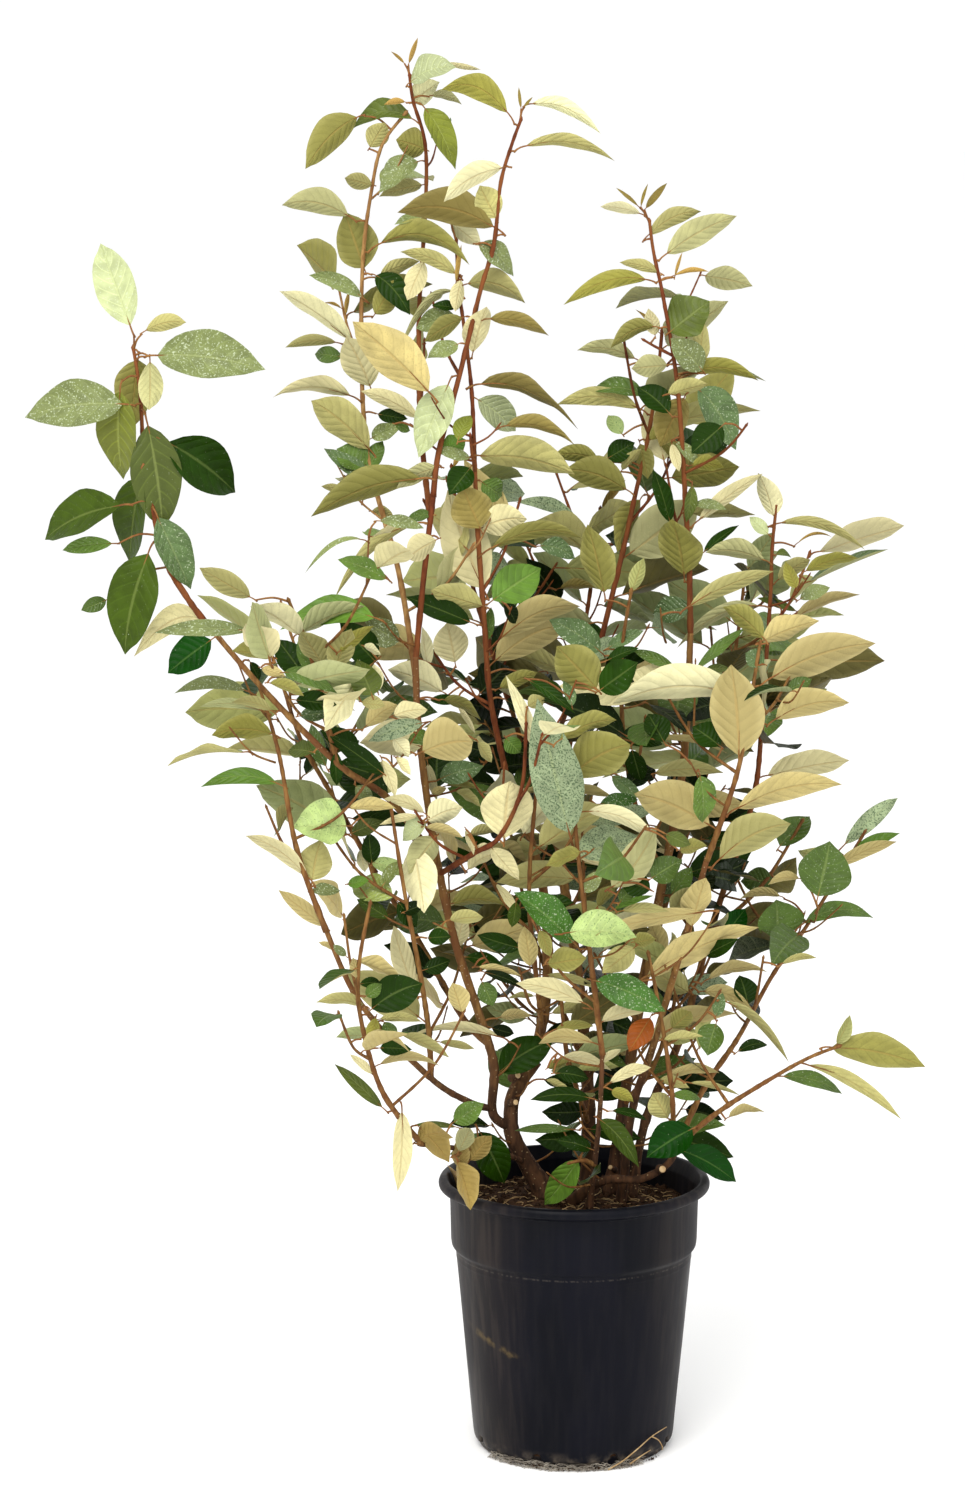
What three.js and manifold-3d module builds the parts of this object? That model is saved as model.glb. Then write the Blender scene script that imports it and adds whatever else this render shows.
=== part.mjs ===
// Potted ebbinges silverberry: a young evergreen shrub of long upright shoots in a black nursery pot.
// Millimetres, +Z up, +X to the right and +Y to the back of the front view.
// The origin is the middle of the pot's flat underside.

import * as THREE from 'three';
import Module from 'manifold-3d';

const wasm = await Module();
wasm.setup();

// Clearance between pieces that touch.
const GAP = 0.3;

// Pot: ten litres, blow-moulded, with a rounded lip and a stacking band under it.
const POT_HEIGHT = 263;
const RIM_RADIUS = 130;
const LIP_HEIGHT = 11;
const BAND_HEIGHT = 55;
const BAND_TOP_RADIUS = 119;
const BAND_FOOT_RADIUS = 117.5;
const BODY_TOP_RADIUS = 113.5;
const BODY_FOOT_RADIUS = 96;
const WALL = 2.8;
const WALL_LIFT = 8;
const FOOT_RADIUS = 91;
const BASE = 3.5;
const POT_SIDES = 26;
const LIP_ROUND = 3;
const BEND_HEIGHT = 4;

// Soil: level in the middle, where the stems stand, and a little lower at the wall.
const SOIL_TOP = 238;
const SOIL_EDGE = 233;
const SOIL_LEVEL_RADIUS = 70;

// Trunks and boughs.
const LIMB_SIDES = 6;
const TRUNK_STEP = 32;
const BOUGH_STEP = 45;
const FLARE_HEIGHT = 14;

// Curves: samples in each span of a route, and the spacing of the points that clearances are tested at.
const SPAN_SAMPLES = 12;
const FINE_STEP = 5;
const TWIG_FINE_STEP = 10;

// Leaves: long ovals, alternate along the shoots.
const LEAF_LENGTH = 95;
const LEAF_WIDTH = 0.46;
const STALK = 0.1;
const STEM_OUTLINE = [0.36, 0.7];
const TWIG_OUTLINE = [0.54];
const STALK_RADIUS = 1.1;
const ROOT_RADIUS = 0.5;

// Shape of a blade: where it starts along the leaf, how soon it is at its widest, how far its sides fold up
// as a part of its half width, and how far its tip droops as a part of its length.
const BLADE_START = 0.08;
const BLADE_SWELL = 0.85;
const BLADE_FOLD = 0.16;
const BLADE_DROOP = 0.13;

// How much each leaf may differ from the rule, both ways.
const LEAF_SPREAD = { turn: 0.25, lift: 0.3, face: 0.5, size: 0.16, width: 0.12 };

// Leaves up a stem: distance of the first from the foot and of the last from the tip, their lift, their
// length at the foot and how much of it is lost by the tip, the small pair at the tip, and how much wider a
// leaf is that is set by itself.
const FIRST_LEAF = 18;
const LAST_LEAF = 4;
const STEM_LIFT = 0.3;
const FOOT_LENGTH = 1.06;
const LENGTH_LOSS = 0.3;
const TIP_PAIR = { back: 3, lift: 1, size: 0.42, item: 40 };
const OWN_WIDTH = 1.1;

// Leaves up a side twig: their spacing, size and lift, the part of the twig that is bare at its foot, and how
// many hours they stand to either side of it.
const TWIG_LEAVES = { spacing: 26, size: 0.8, lift: 0.35, bare: 0.3, back: 2, hours: 2.3, item: 100 };

// Stems of the masses and their side twigs, three-sided: radius at the foot and at the tip.
const STEM_RADIUS = [2.9, 1.5];
const TWIG_RADIUS = [1.6, 1.2];
const TWIG_LENGTH = [60, 120];
const STEM_STEP = 66;
const TWIG_STEP = 90;

// Side twigs: where the first leaves the stem, the part of the stem that carries them, the turn from one to
// the next, how steeply they rise, and how far their tips lie out and turn up, as parts of their length.
const FIRST_TWIG = 22;
const TWIG_ZONE = 0.85;
const GOLDEN_TURN = 2.4;
const TURN_SPREAD = 0.4;
const TWIG_RISE = [0.45, 0.8];
const TWIG_OUT = 0.9;
const TWIG_UP = 0.25;

// Space of a mass, as the furthest that a leaf's tip lies from its own stem, and the clear room round a leaf,
// a twig and the pot. Near its own foot a leaf or a twig may come close to its stem.
const REACH = 180;
const LEAF_ROOM = 4.5;
const OWN_ROOM = 1.5;
const STEM_ROOM = 2.5;
const TWIG_ROOM = 5;
const POT_ROOM = 4;
const WALL_ROOM = 8;
const LEAF_FOOT = 14;
const TWIG_FOOT = 16;

// Two leaves can only meet when their middles are nearer than this part of their lengths put together.
const MEETING = 0.56;

// Where most blades turn their upper faces: up, and to the back of the front view.
const LIGHT = [0.1, 0.85, 0.5];

const COLOURS = { pot: 0x232327, soil: 0x2e1f17, bark: 0x5a4030, shoot: 0x6b3a28, leaf: 0x8f8f58 };
const ROUGHNESS = { pot: 0.55, soil: 1, bark: 0.85, leaf: 0.7 };

// Limbs: on names the limb that carries this one, route runs from its foot to its tip.
const LIMBS = {
  trunk_left: {
    route: [[-26, 25, SOIL_TOP], [-50, 15, 280], [-60, 9, 305], [-59, 12, 335], [-50, 18, 352],
      [-36, 24, 370]],
    radius: [9, 6], flare: 5, colour: COLOURS.bark,
  },
  trunk_middle: {
    route: [[14, 52, SOIL_TOP], [15, 55, 320], [5, 68, 440], [-8, 80, 525], [-15, 85, 585]],
    radius: [7, 4.2], flare: 3, colour: COLOURS.bark,
  },
  trunk_right: {
    route: [[36, 34, SOIL_TOP], [45, 30, 305], [51, 36, 345], [71, 50, 465], [95, 60, 590], [106, 60, 670],
      [110, 52, 780]],
    radius: [6, 3], flare: 3, colour: COLOURS.bark,
  },
  stem_back_right: {
    route: [[56, 20, SOIL_TOP], [70, 36, 310], [104, 60, 385], [131, 75, 480], [155, 84, 555]],
    radius: [4.5, 2.8], flare: 2, colour: COLOURS.bark,
  },
  stem_front_right: {
    route: [[46, 2, SOIL_TOP], [54, -22, 330], [72, -52, 400], [100, -80, 510], [120, -95, 590]],
    radius: [4.2, 2.6], flare: 2, colour: COLOURS.bark,
  },
  stem_front: {
    route: [[14, -24, SOIL_TOP], [22, -60, 330], [24, -93, 405]],
    radius: [2.8, 2.1], flare: 1.5, colour: COLOURS.bark,
  },
  stem_low_right: {
    route: [[-4, -6, SOIL_TOP], [28, -22, 264], [62, -40, 270], [88, -50, 288], [96, -54, 308]],
    radius: [4.6, 3], flare: 2, colour: COLOURS.bark,
  },
  bough_centre: {
    on: 'trunk_left',
    route: [[-39, 22.5, 365], [-26, 22, 445], [-30, 12, 540], [-52, 0, 620], [-65, -5, 652]],
    radius: [5.6, 3.4], colour: COLOURS.bark,
  },
  bough_left_upright: {
    on: 'trunk_left',
    route: [[-60, 9, 308], [-78, -4, 326], [-77, -15, 375], [-92, -26, 430], [-115, -40, 505],
      [-134, -45, 600], [-147, -42, 700], [-150, -40, 770]],
    radius: [4.6, 3], colour: COLOURS.bark,
  },
  bough_left_upper: {
    on: 'bough_left_upright',
    route: [[-150, -40, 767], [-141, -32, 855], [-133, -22, 920]],
    radius: [2.9, 2.5], colour: COLOURS.shoot,
  },
  bough_far_left: {
    on: 'bough_left_upright',
    route: [[-130, -45, 575], [-172, -78, 640], [-220, -110, 680], [-285, -130, 750], [-338, -140, 815]],
    radius: [3.4, 2.4], colour: COLOURS.bark,
  },
  bough_left_back: {
    on: 'bough_left_upright',
    route: [[-81, -19, 395], [-107, -6, 420], [-150, 22, 490], [-192, 50, 550]],
    radius: [3.2, 2.3], colour: COLOURS.bark,
  },
  bough_low_left: {
    on: 'bough_left_upright',
    route: [[-78, -6, 330], [-100, -28, 342], [-138, -62, 375], [-200, -110, 455], [-232, -128, 530]],
    radius: [3.3, 2.3], colour: COLOURS.bark,
  },
  bough_front_left: {
    on: 'trunk_left',
    route: [[-46, 16, 272], [-72, -26, 292], [-105, -62, 305], [-147, -110, 322]],
    radius: [3, 2.2], colour: COLOURS.bark,
  },
  bough_right_tall: {
    on: 'trunk_middle',
    route: [[-14.5, 84.5, 582], [0, 95, 690], [25, 105, 760]],
    radius: [3.6, 2.6], colour: COLOURS.bark,
  },
  bough_back: {
    on: 'trunk_middle',
    route: [[-11, 82, 555], [-38, 120, 625], [-62, 160, 700]],
    radius: [3, 2.3], colour: COLOURS.bark,
  },
  bough_back_right: {
    on: 'trunk_right',
    route: [[62, 44, 420], [88, 100, 500], [120, 160, 590]],
    radius: [3, 2.3], colour: COLOURS.bark,
  },
};

// Foliage: on names the limb that carries the stem. clock gives one letter for each leaf up the stem, the
// hour that it points to seen from above: 6 to the front, 9 to the left, x for ten, e for eleven. twigs is
// the number of side twigs, size scales the leaves, light turns their upper faces, and own lists leaves that
// stand out: the height on the stem, and how far the tip lies from there.
const MASSES = {
  foliage_centre: {
    on: 'bough_centre', seed: 11, twigs: 3, clock: '9372964827394825736',
    route: [[-64, -5, 648], [-80, -15, 725], [-86, -20, 800], [-93, -10, 900], [-97, 14, 1000],
      [-102, 24, 1050], [-110, 30, 1110], [-112, 32, 1150]],
  },
  foliage_top: {
    on: 'bough_left_upper', seed: 12, twigs: 1, clock: '389739593847298',
    own: [[1238, 62, 0, 18], [1205, 82, -10, 4], [1165, -82, 10, 20]],
    route: [[-133.5, -22, 917], [-128, -18, 960], [-110, -5, 1025], [-90, 5, 1105], [-77, 5, 1150],
      [-71, 0, 1205], [-61, -5, 1240], [-53, -10, 1262]],
  },
  foliage_high_tip: {
    on: 'bough_left_upper', seed: 13, twigs: 1, clock: '9382947394829738',
    own: [[925, -92, -30, -38], [1010, -80, -20, 72]],
    route: [[-136, -25, 895], [-146, 30, 985], [-147, 48, 1085], [-141, 50, 1180], [-141, 44, 1240],
      [-152, 34, 1280], [-155, 30, 1302]],
  },
  foliage_left_top: {
    on: 'bough_left_upright', seed: 14, twigs: 3, clock: '94938739594839748',
    own: [[1075, -82, -20, 38], [1000, -94, -10, 16], [1168, -74, -10, 24]],
    route: [[-149, -41, 745], [-166, -4, 845], [-193, 30, 940], [-201, 45, 1020], [-200, 55, 1130],
      [-191, 55, 1200], [-181, 50, 1240], [-160, 42, 1268]],
  },
  foliage_far_left: {
    on: 'bough_far_left', seed: 15, twigs: 0, clock: '3', light: [-0.1, -0.8, 0.5],
    own: [[1058, -30, 10, 86], [1050, 40, -4, 8], [1034, 98, -10, -12], [1020, -2, -40, -62],
      [980, -92, 6, 12], [990, -30, -28, -72], [968, 26, -24, -88], [950, 78, 8, -52], [905, -96, 4, -8],
      [915, -28, -26, -82], [885, 22, -18, -72], [845, -42, -14, -84], [860, -78, 40, 6]],
    route: [[-336, -140, 812], [-356, -142, 840], [-377, -140, 880], [-392, -132, 960], [-396, -126, 1020],
      [-402, -120, 1060]],
  },
  foliage_left_slope: {
    on: 'bough_far_left', seed: 16, twigs: 3, clock: '963985',
    route: [[-220, -110, 680], [-232, -128, 730], [-245, -140, 790], [-262, -150, 835]],
  },
  foliage_left_back: {
    on: 'bough_left_back', seed: 17, twigs: 3, clock: '9739829',
    own: [[640, -74, -10, 2]],
    route: [[-190, 49, 548], [-235, 72, 625], [-262, 82, 672], [-280, 90, 725], [-302, 96, 785]],
  },
  foliage_low_left: {
    on: 'bough_low_left', seed: 18, twigs: 3, clock: '9397893',
    own: [[548, -46, -20, 44]],
    route: [[-231, -127.5, 527], [-258, -127, 605], [-274, -114, 690], [-292, -102, 750]],
  },
  foliage_left_inner: {
    on: 'bough_low_left', seed: 19, twigs: 3, clock: '39738392',
    route: [[-136, -60, 373], [-138, -68, 420], [-146, -84, 480], [-160, -98, 560], [-172, -104, 640]],
  },
  foliage_front_left: {
    on: 'bough_front_left', seed: 20, twigs: 3, clock: '98739374',
    own: [[365, -46, -20, 24], [336, -8, -16, -72]],
    route: [[-144, -108, 321], [-180, -148, 382], [-199, -165, 455], [-200, -172, 505], [-190, -168, 560]],
  },
  foliage_low_front: {
    on: 'bough_front_left', seed: 21, twigs: 0, clock: '98',
    own: [[304, 22, -22, -44]],
    route: [[-72, -26, 292], [-79, -46, 302], [-92, -66, 308], [-114, -84, 304]],
  },
  foliage_inner_front: {
    on: 'bough_centre', seed: 22, twigs: 3, clock: '73648379',
    route: [[-30, 22, 395], [-34, -30, 440], [-44, -66, 540], [-40, -84, 630], [-32, -96, 700]],
  },
  foliage_centre_front: {
    on: 'bough_left_upright', seed: 23, twigs: 3, clock: '746535683',
    route: [[-128, -44, 565], [-96, -84, 592], [-72, -108, 612], [-52, -128, 660], [-48, -138, 720]],
  },
  foliage_tall_right: {
    on: 'bough_right_tall', seed: 24, twigs: 3, clock: '92738493736483',
    route: [[24.5, 104.8, 758], [46, 115, 845], [58, 118, 900], [71, 120, 960], [80, 123, 1020],
      [84, 125, 1060]],
  },
  foliage_right_top: {
    on: 'trunk_right', seed: 25, twigs: 3, clock: '394728392384923',
    own: [[1080, -76, -10, -4], [1100, 60, -8, 40], [955, 46, -20, -66], [985, 70, 10, 8]],
    route: [[110, 52, 777], [108, 47, 850], [105, 45, 890], [96, 40, 1010], [82, 35, 1095], [72, 31, 1140],
      [68, 30, 1168]],
  },
  foliage_right_inner: {
    on: 'trunk_right', seed: 26, twigs: 4, clock: '9736493',
    route: [[86, 56, 545], [60, 20, 610], [45, -10, 690], [42, -30, 770], [50, -40, 830]],
  },
  foliage_right: {
    on: 'stem_back_right', seed: 27, twigs: 3, clock: '39364928343',
    own: [[862, 78, 0, -14], [800, 80, -14, 20]],
    route: [[154.5, 84, 552], [175, 80, 625], [181, 70, 715], [186, 60, 810], [187, 55, 860],
      [190, 50, 900]],
  },
  foliage_right_front: {
    on: 'stem_front_right', seed: 28, twigs: 3, clock: '93739438',
    own: [[676, 0, -14, 100], [655, 84, -20, 30], [640, -94, -18, -6], [610, 76, -24, 24]],
    route: [[119.5, -94.8, 587], [140, -106, 650], [150, -111, 690], [158, -108, 740], [166, -104, 790]],
  },
  foliage_front: {
    on: 'stem_front', seed: 29, twigs: 3, clock: '73956483',
    route: [[24, -92, 403], [12, -118, 500], [2, -134, 580], [-4, -142, 650], [2, -146, 700]],
  },
  foliage_front_right: {
    on: 'stem_low_right', seed: 30, twigs: 2, clock: '84753',
    own: [[306, 60, -22, -26]],
    route: [[92, -47, 292], [90, -76, 360], [78, -94, 440], [66, -102, 500]],
  },
  foliage_low_right: {
    on: 'stem_low_right', seed: 31, twigs: 1, clock: '46382',
    own: [[423, 92, -8, -20], [402, 84, -24, -36], [384, 58, -24, -16], [392, -54, 10, 48]],
    route: [[95.5, -53, 306], [130, -90, 346], [170, -120, 381], [210, -140, 410], [238, -150, 424]],
  },
  foliage_right_reach: {
    on: 'stem_low_right', seed: 32, twigs: 3, clock: '5928392',
    own: [[582, 52, 4, 50], [505, 72, -8, 16], [500, -60, -10, 10], [548, -44, -12, 24]],
    route: [[94, -50, 300], [122, -30, 356], [156, 8, 396], [190, 38, 450], [226, 60, 497], [262, 75, 552],
      [280, 78, 582]],
  },
  foliage_soil: {
    on: 'stem_front', seed: 38, twigs: 0, clock: '3',
    own: [[290, -30, -34, -36]],
    route: [[19, -42, 284], [8, -50, 291], [-4, -55, 290]],
  },
  foliage_low_middle: {
    on: 'trunk_middle', seed: 39, twigs: 3, clock: '73964837', size: 0.75,
    route: [[15, 53, 300], [4, 18, 340], [-8, -16, 390], [-14, -40, 450]],
  },
  foliage_low_inner: {
    on: 'trunk_right', seed: 40, twigs: 3, clock: '364759', size: 0.75,
    route: [[48, 32, 325], [74, 8, 366], [92, -14, 425], [100, -26, 490]],
  },
  foliage_back_left: {
    on: 'bough_back', seed: 33, twigs: 2, clock: 'e291e382',
    route: [[-61.5, 159, 698], [-90, 200, 780], [-110, 225, 860], [-118, 235, 920]],
  },
  foliage_back_middle: {
    on: 'bough_back', seed: 34, twigs: 2, clock: '1e2x1e39',
    route: [[-38, 119, 623], [-5, 165, 690], [15, 200, 780], [28, 215, 880]],
  },
  foliage_back_right: {
    on: 'bough_back_right', seed: 35, twigs: 3, clock: '2x1e3291',
    route: [[119.5, 159.4, 588], [150, 195, 680], [165, 215, 760], [172, 225, 820]],
  },
  foliage_back_low: {
    on: 'trunk_middle', seed: 36, twigs: 2, clock: 'e19e3x1',
    route: [[14, 58, 350], [-10, 120, 400], [-40, 175, 470], [-60, 210, 560]],
  },
  foliage_low_back_right: {
    on: 'bough_back_right', seed: 37, twigs: 3, clock: '2e3125',
    route: [[76, 74, 462], [130, 100, 480], [185, 130, 520], [225, 150, 580]],
  },
};

// Small vector tools on plain [x, y, z] lists.
const add = (a, b) => [a[0] + b[0], a[1] + b[1], a[2] + b[2]];
const sub = (a, b) => [a[0] - b[0], a[1] - b[1], a[2] - b[2]];
const scale = (a, k) => [a[0] * k, a[1] * k, a[2] * k];
const dot = (a, b) => a[0] * b[0] + a[1] * b[1] + a[2] * b[2];
const cross = (a, b) => [a[1] * b[2] - a[2] * b[1], a[2] * b[0] - a[0] * b[2], a[0] * b[1] - a[1] * b[0]];
const unit = (a) => scale(a, 1 / Math.hypot(...a));
const mix = (a, b, t) => add(scale(a, 1 - t), scale(b, t));

// A steady number from 0 to 1 for a seed, an item and a use.
function chance(seed, item, use) {
  let t = (seed * 7919 + item * 131 + use * 17 + 1831565813) | 0;
  t = Math.imul(t ^ (t >>> 15), t | 1);
  t ^= t + Math.imul(t ^ (t >>> 7), t | 61);
  return ((t ^ (t >>> 14)) >>> 0) / 4294967296;
}

// The same number spread evenly from -size to size.
function spread(seed, item, use, size) {
  return (chance(seed, item, use) * 2 - 1) * size;
}

// A smooth curve through a route's points, as evenly spaced points about step apart.
function smooth(route, step) {
  const fine = [];
  const last = route.length - 1;
  for (let i = 0; i < last; i += 1) {
    const before = route[Math.max(i - 1, 0)];
    const after = route[Math.min(i + 2, last)];
    for (let k = 0; k < SPAN_SAMPLES; k += 1) {
      const t = k / SPAN_SAMPLES;
      const weights = [
        -0.5 * t + t * t - 0.5 * t ** 3,
        1 - 2.5 * t * t + 1.5 * t ** 3,
        0.5 * t + 2 * t * t - 1.5 * t ** 3,
        -0.5 * t * t + 0.5 * t ** 3,
      ];
      const near = [before, route[i], route[i + 1], after];
      fine.push(near.reduce((sum, p, n) => add(sum, scale(p, weights[n])), [0, 0, 0]));
    }
  }
  fine.push(route[last]);
  const along = [0];
  for (let i = 1; i < fine.length; i += 1) {
    along.push(along[i - 1] + Math.hypot(...sub(fine[i], fine[i - 1])));
  }
  const total = along[along.length - 1];
  const count = Math.max(Math.round(total / step), 1);
  const points = [];
  let i = 1;
  for (let k = 0; k <= count; k += 1) {
    const s = (total * k) / count;
    while (i < fine.length - 1 && along[i] < s) i += 1;
    points.push(mix(fine[i - 1], fine[i], (s - along[i - 1]) / (along[i] - along[i - 1])));
  }
  return points;
}

// The point at a distance along evenly spaced points.
function placeOn(points, step, distance) {
  const t = Math.min(distance / step, points.length - 1.001);
  const i = Math.floor(t);
  return mix(points[i], points[i + 1], t - i);
}

// The point of a line of points that is nearest to a place.
function seatOn(points, place) {
  let best = points[0];
  for (let i = 1; i < points.length; i += 1) {
    const span = sub(points[i], points[i - 1]);
    const t = Math.min(Math.max(dot(sub(place, points[i - 1]), span) / dot(span, span), 0), 1);
    const near = mix(points[i - 1], points[i], t);
    if (Math.hypot(...sub(near, place)) < Math.hypot(...sub(best, place))) best = near;
  }
  return best;
}

// Radii that fall evenly from the first to the second of a pair.
function tapering([foot, tip], count) {
  return Array.from({ length: count }, (_, i) => foot + ((tip - foot) * i) / (count - 1));
}

// A closed tapering tube through points, with a radius for each, and flat ends.
function tube(points, radii, sides) {
  const positions = [];
  const faces = [];
  let side = unit(cross([0.3, 1, 0.1], sub(points[1], points[0])));
  points.forEach((p, i) => {
    const ahead = points[Math.min(i + 1, points.length - 1)];
    const behind = points[Math.max(i - 1, 0)];
    const along = unit(sub(ahead, behind));
    side = unit(sub(side, scale(along, dot(side, along))));
    const other = cross(along, side);
    for (let k = 0; k < sides; k += 1) {
      const turn = (2 * Math.PI * k) / sides;
      const out = add(scale(side, Math.cos(turn) * radii[i]), scale(other, Math.sin(turn) * radii[i]));
      positions.push(add(p, out));
    }
  });
  const rings = points.length;
  for (let i = 0; i < rings - 1; i += 1) {
    for (let k = 0; k < sides; k += 1) {
      const a = i * sides + k;
      const b = i * sides + ((k + 1) % sides);
      faces.push([a, b, b + sides], [a, b + sides, a + sides]);
    }
  }
  for (let k = 1; k < sides - 1; k += 1) {
    const end = (rings - 1) * sides;
    faces.push([0, k + 1, k], [end, end + k, end + k + 1]);
  }
  return { positions, faces };
}

// A leaf: base on its twig's axis, direction, upper face and length.
function makeLeaf(base, direction, upper, length, width, twig) {
  const along = unit(direction);
  const face = unit(sub(upper, scale(along, dot(upper, along))));
  return { base, along, face, across: cross(face, along), length, half: (length * width) / 2, twig };
}

// The width of a blade at t along its leaf, as a part of its full width.
function swellAt(t) {
  const far = Math.min(Math.max((t - BLADE_START) / (1 - BLADE_START), 0), 1);
  return Math.sin(Math.PI * far ** BLADE_SWELL);
}

// A place on a leaf: t along it from 0 to 1, s across it from -1 to 1. The blade folds and droops.
function leafPoint(leaf, t, s) {
  const swell = swellAt(t);
  const rise = BLADE_FOLD * Math.abs(s) * swell * leaf.half - BLADE_DROOP * leaf.length * t * t;
  const flat = add(scale(leaf.along, t * leaf.length), scale(leaf.across, s * swell * leaf.half));
  return add(leaf.base, add(flat, scale(leaf.face, rise)));
}

// The leaf's closed solid: a three-sided stalk and a thin folded blade with the corners of an outline,
// which gives the places along each side of the blade.
function leafSolid(leaf, outline) {
  const ring = (centre, radius) => [0, 1, 2].map((k) => {
    const turn = Math.PI / 2 + (2 * Math.PI * k) / 3;
    const out = add(scale(leaf.across, Math.cos(turn)), scale(leaf.face, Math.sin(turn)));
    return add(centre, scale(out, radius));
  });
  const positions = [
    ...ring(leaf.base, ROOT_RADIUS),
    ...ring(leafPoint(leaf, STALK, 0), STALK_RADIUS),
    ...outline.map((t) => leafPoint(leaf, t, -1)),
    leafPoint(leaf, 1, 0),
    ...[...outline].reverse().map((t) => leafPoint(leaf, t, 1)),
  ];
  const faces = [[0, 2, 1], [0, 1, 4], [0, 4, 3], [1, 2, 5], [1, 5, 4], [2, 0, 3], [2, 3, 5]];
  const tip = 6 + outline.length;
  const last = positions.length - 1;
  faces.push([3, 4, 6], [3, last, 5], [4, 5, tip]);
  for (let i = 6; i < last; i += 1) faces.push([3, i, i + 1]);
  for (let i = 6; i < tip; i += 1) faces.push([4, i + 1, i]);
  for (let i = tip; i < last; i += 1) faces.push([5, i + 1, i]);
  return { positions, faces };
}

// The points that a leaf is tested at.
function leafProbes(leaf) {
  const probes = [];
  for (const t of [0.2, 0.35, 0.5, 0.65, 0.8, 0.92]) {
    for (const s of [-1, -0.5, 0, 0.5, 1]) probes.push(leafPoint(leaf, t, s));
  }
  probes.push(leafPoint(leaf, 1, 0));
  return probes;
}

// Whether a point lies within room of a leaf's blade.
function nearBlade(leaf, point, room) {
  const away = sub(point, leaf.base);
  const t = dot(away, leaf.along) / leaf.length;
  if (t < STALK || t > 1 + room / leaf.length) return false;
  const half = swellAt(t) * leaf.half;
  const aside = Math.abs(dot(away, leaf.across));
  if (aside > half + room) return false;
  const rise = BLADE_FOLD * Math.min(aside, half) - BLADE_DROOP * leaf.length * t * t;
  return Math.abs(dot(away, leaf.face) - rise) < room;
}

// The growing plant: stems as points with a radius, and leaves, that later ones keep clear of.
const grownStems = [];
const grownLeaves = [];

function leafIsFree(leaf) {
  const middle = leafPoint(leaf, 0.5, 0);
  for (const stem of grownStems) {
    if (Math.hypot(...sub(stem.at, middle)) > leaf.length) continue;
    const nearFoot = leaf.own || Math.hypot(...sub(stem.at, leaf.base)) < LEAF_FOOT;
    if (stem.twig === leaf.twig && nearFoot) continue;
    if (nearBlade(leaf, stem.at, stem.radius + STEM_ROOM)) return false;
  }
  const probes = leafProbes(leaf);
  for (const other of grownLeaves) {
    const meeting = (leaf.length + other.leaf.length) * MEETING;
    if (Math.hypot(...sub(other.middle, middle)) > meeting) continue;
    const room = leaf.own ? OWN_ROOM : LEAF_ROOM;
    if (probes.some((p) => nearBlade(other.leaf, p, room))) return false;
    if (other.probes.some((p) => nearBlade(leaf, p, room))) return false;
  }
  return insidePot(probes) === false;
}

// Whether any point is in the pot or the soil.
function insidePot(points) {
  return points.some((p) => {
    const radius = Math.hypot(p[0], p[1]);
    const height = radius > BAND_FOOT_RADIUS - WALL_ROOM ? POT_HEIGHT : SOIL_TOP;
    return radius < RIM_RADIUS + POT_ROOM && p[2] < height + POT_ROOM;
  });
}

function keepStem(points, radii, twig) {
  points.forEach((at, i) => grownStems.push({ at, radius: radii[i], twig }));
}

function keepLeaf(leaf) {
  grownLeaves.push({ leaf, middle: leafPoint(leaf, 0.5, 0), probes: leafProbes(leaf) });
}

// Whether a twig's points keep clear of all that has grown, apart from its own foot.
function twigIsFree(points, foot) {
  return points.every((p) => {
    if (Math.hypot(...sub(p, foot)) < TWIG_FOOT) return true;
    if (insidePot([p])) return false;
    return grownStems.every((stem) => Math.hypot(...sub(stem.at, p)) >= stem.radius + TWIG_ROOM);
  });
}

// The hour that each letter of a clock stands for.
function hourOf(letter) {
  if (letter === 'x') return 10;
  if (letter === 'e') return 11;
  return Number(letter);
}

// A leaf that points to an hour, with its own lift, length and turn of the upper face.
function leafAt(base, hour, lift, length, light, seed, item, twig) {
  const turn = (hour * Math.PI) / 6 + spread(seed, item, 1, LEAF_SPREAD.turn);
  const rise = lift + spread(seed, item, 2, LEAF_SPREAD.lift);
  const direction = [Math.sin(turn) * Math.cos(rise), Math.cos(turn) * Math.cos(rise), Math.sin(rise)];
  const upper = add(light, [0, 1, 2].map((k) => spread(seed, item, 3 + k, LEAF_SPREAD.face)));
  const size = length * (1 + spread(seed, item, 6, LEAF_SPREAD.size));
  const width = LEAF_WIDTH * (1 + spread(seed, item, 7, LEAF_SPREAD.width));
  return makeLeaf(base, direction, upper, size, width, twig);
}

// Leaves along the stem of a mass, by its clock, and a small pair at the tip.
function stemLeaves(mass, name, points, step) {
  const total = step * (points.length - 1);
  const gap = (total - FIRST_LEAF - LAST_LEAF) / mass.clock.length;
  const leaves = [];
  [...mass.clock].forEach((letter, i) => {
    const far = i / mass.clock.length;
    const place = placeOn(points, step, FIRST_LEAF + gap * (i + 0.3 + spread(mass.seed, i, 8, 0.2)));
    const length = LEAF_LENGTH * (FOOT_LENGTH - LENGTH_LOSS * far) * (mass.size ?? 1);
    const light = mass.light ?? LIGHT;
    leaves.push(leafAt(place, hourOf(letter), STEM_LIFT, length, light, mass.seed, i, name));
  });
  const tip = placeOn(points, step, total - TIP_PAIR.back);
  const tipLength = LEAF_LENGTH * TIP_PAIR.size;
  leaves.push(leafAt(tip, 3, TIP_PAIR.lift, tipLength, LIGHT, mass.seed, TIP_PAIR.item, name));
  leaves.push(leafAt(tip, 9, TIP_PAIR.lift, tipLength, LIGHT, mass.seed, TIP_PAIR.item + 1, name));
  return leaves;
}

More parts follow.
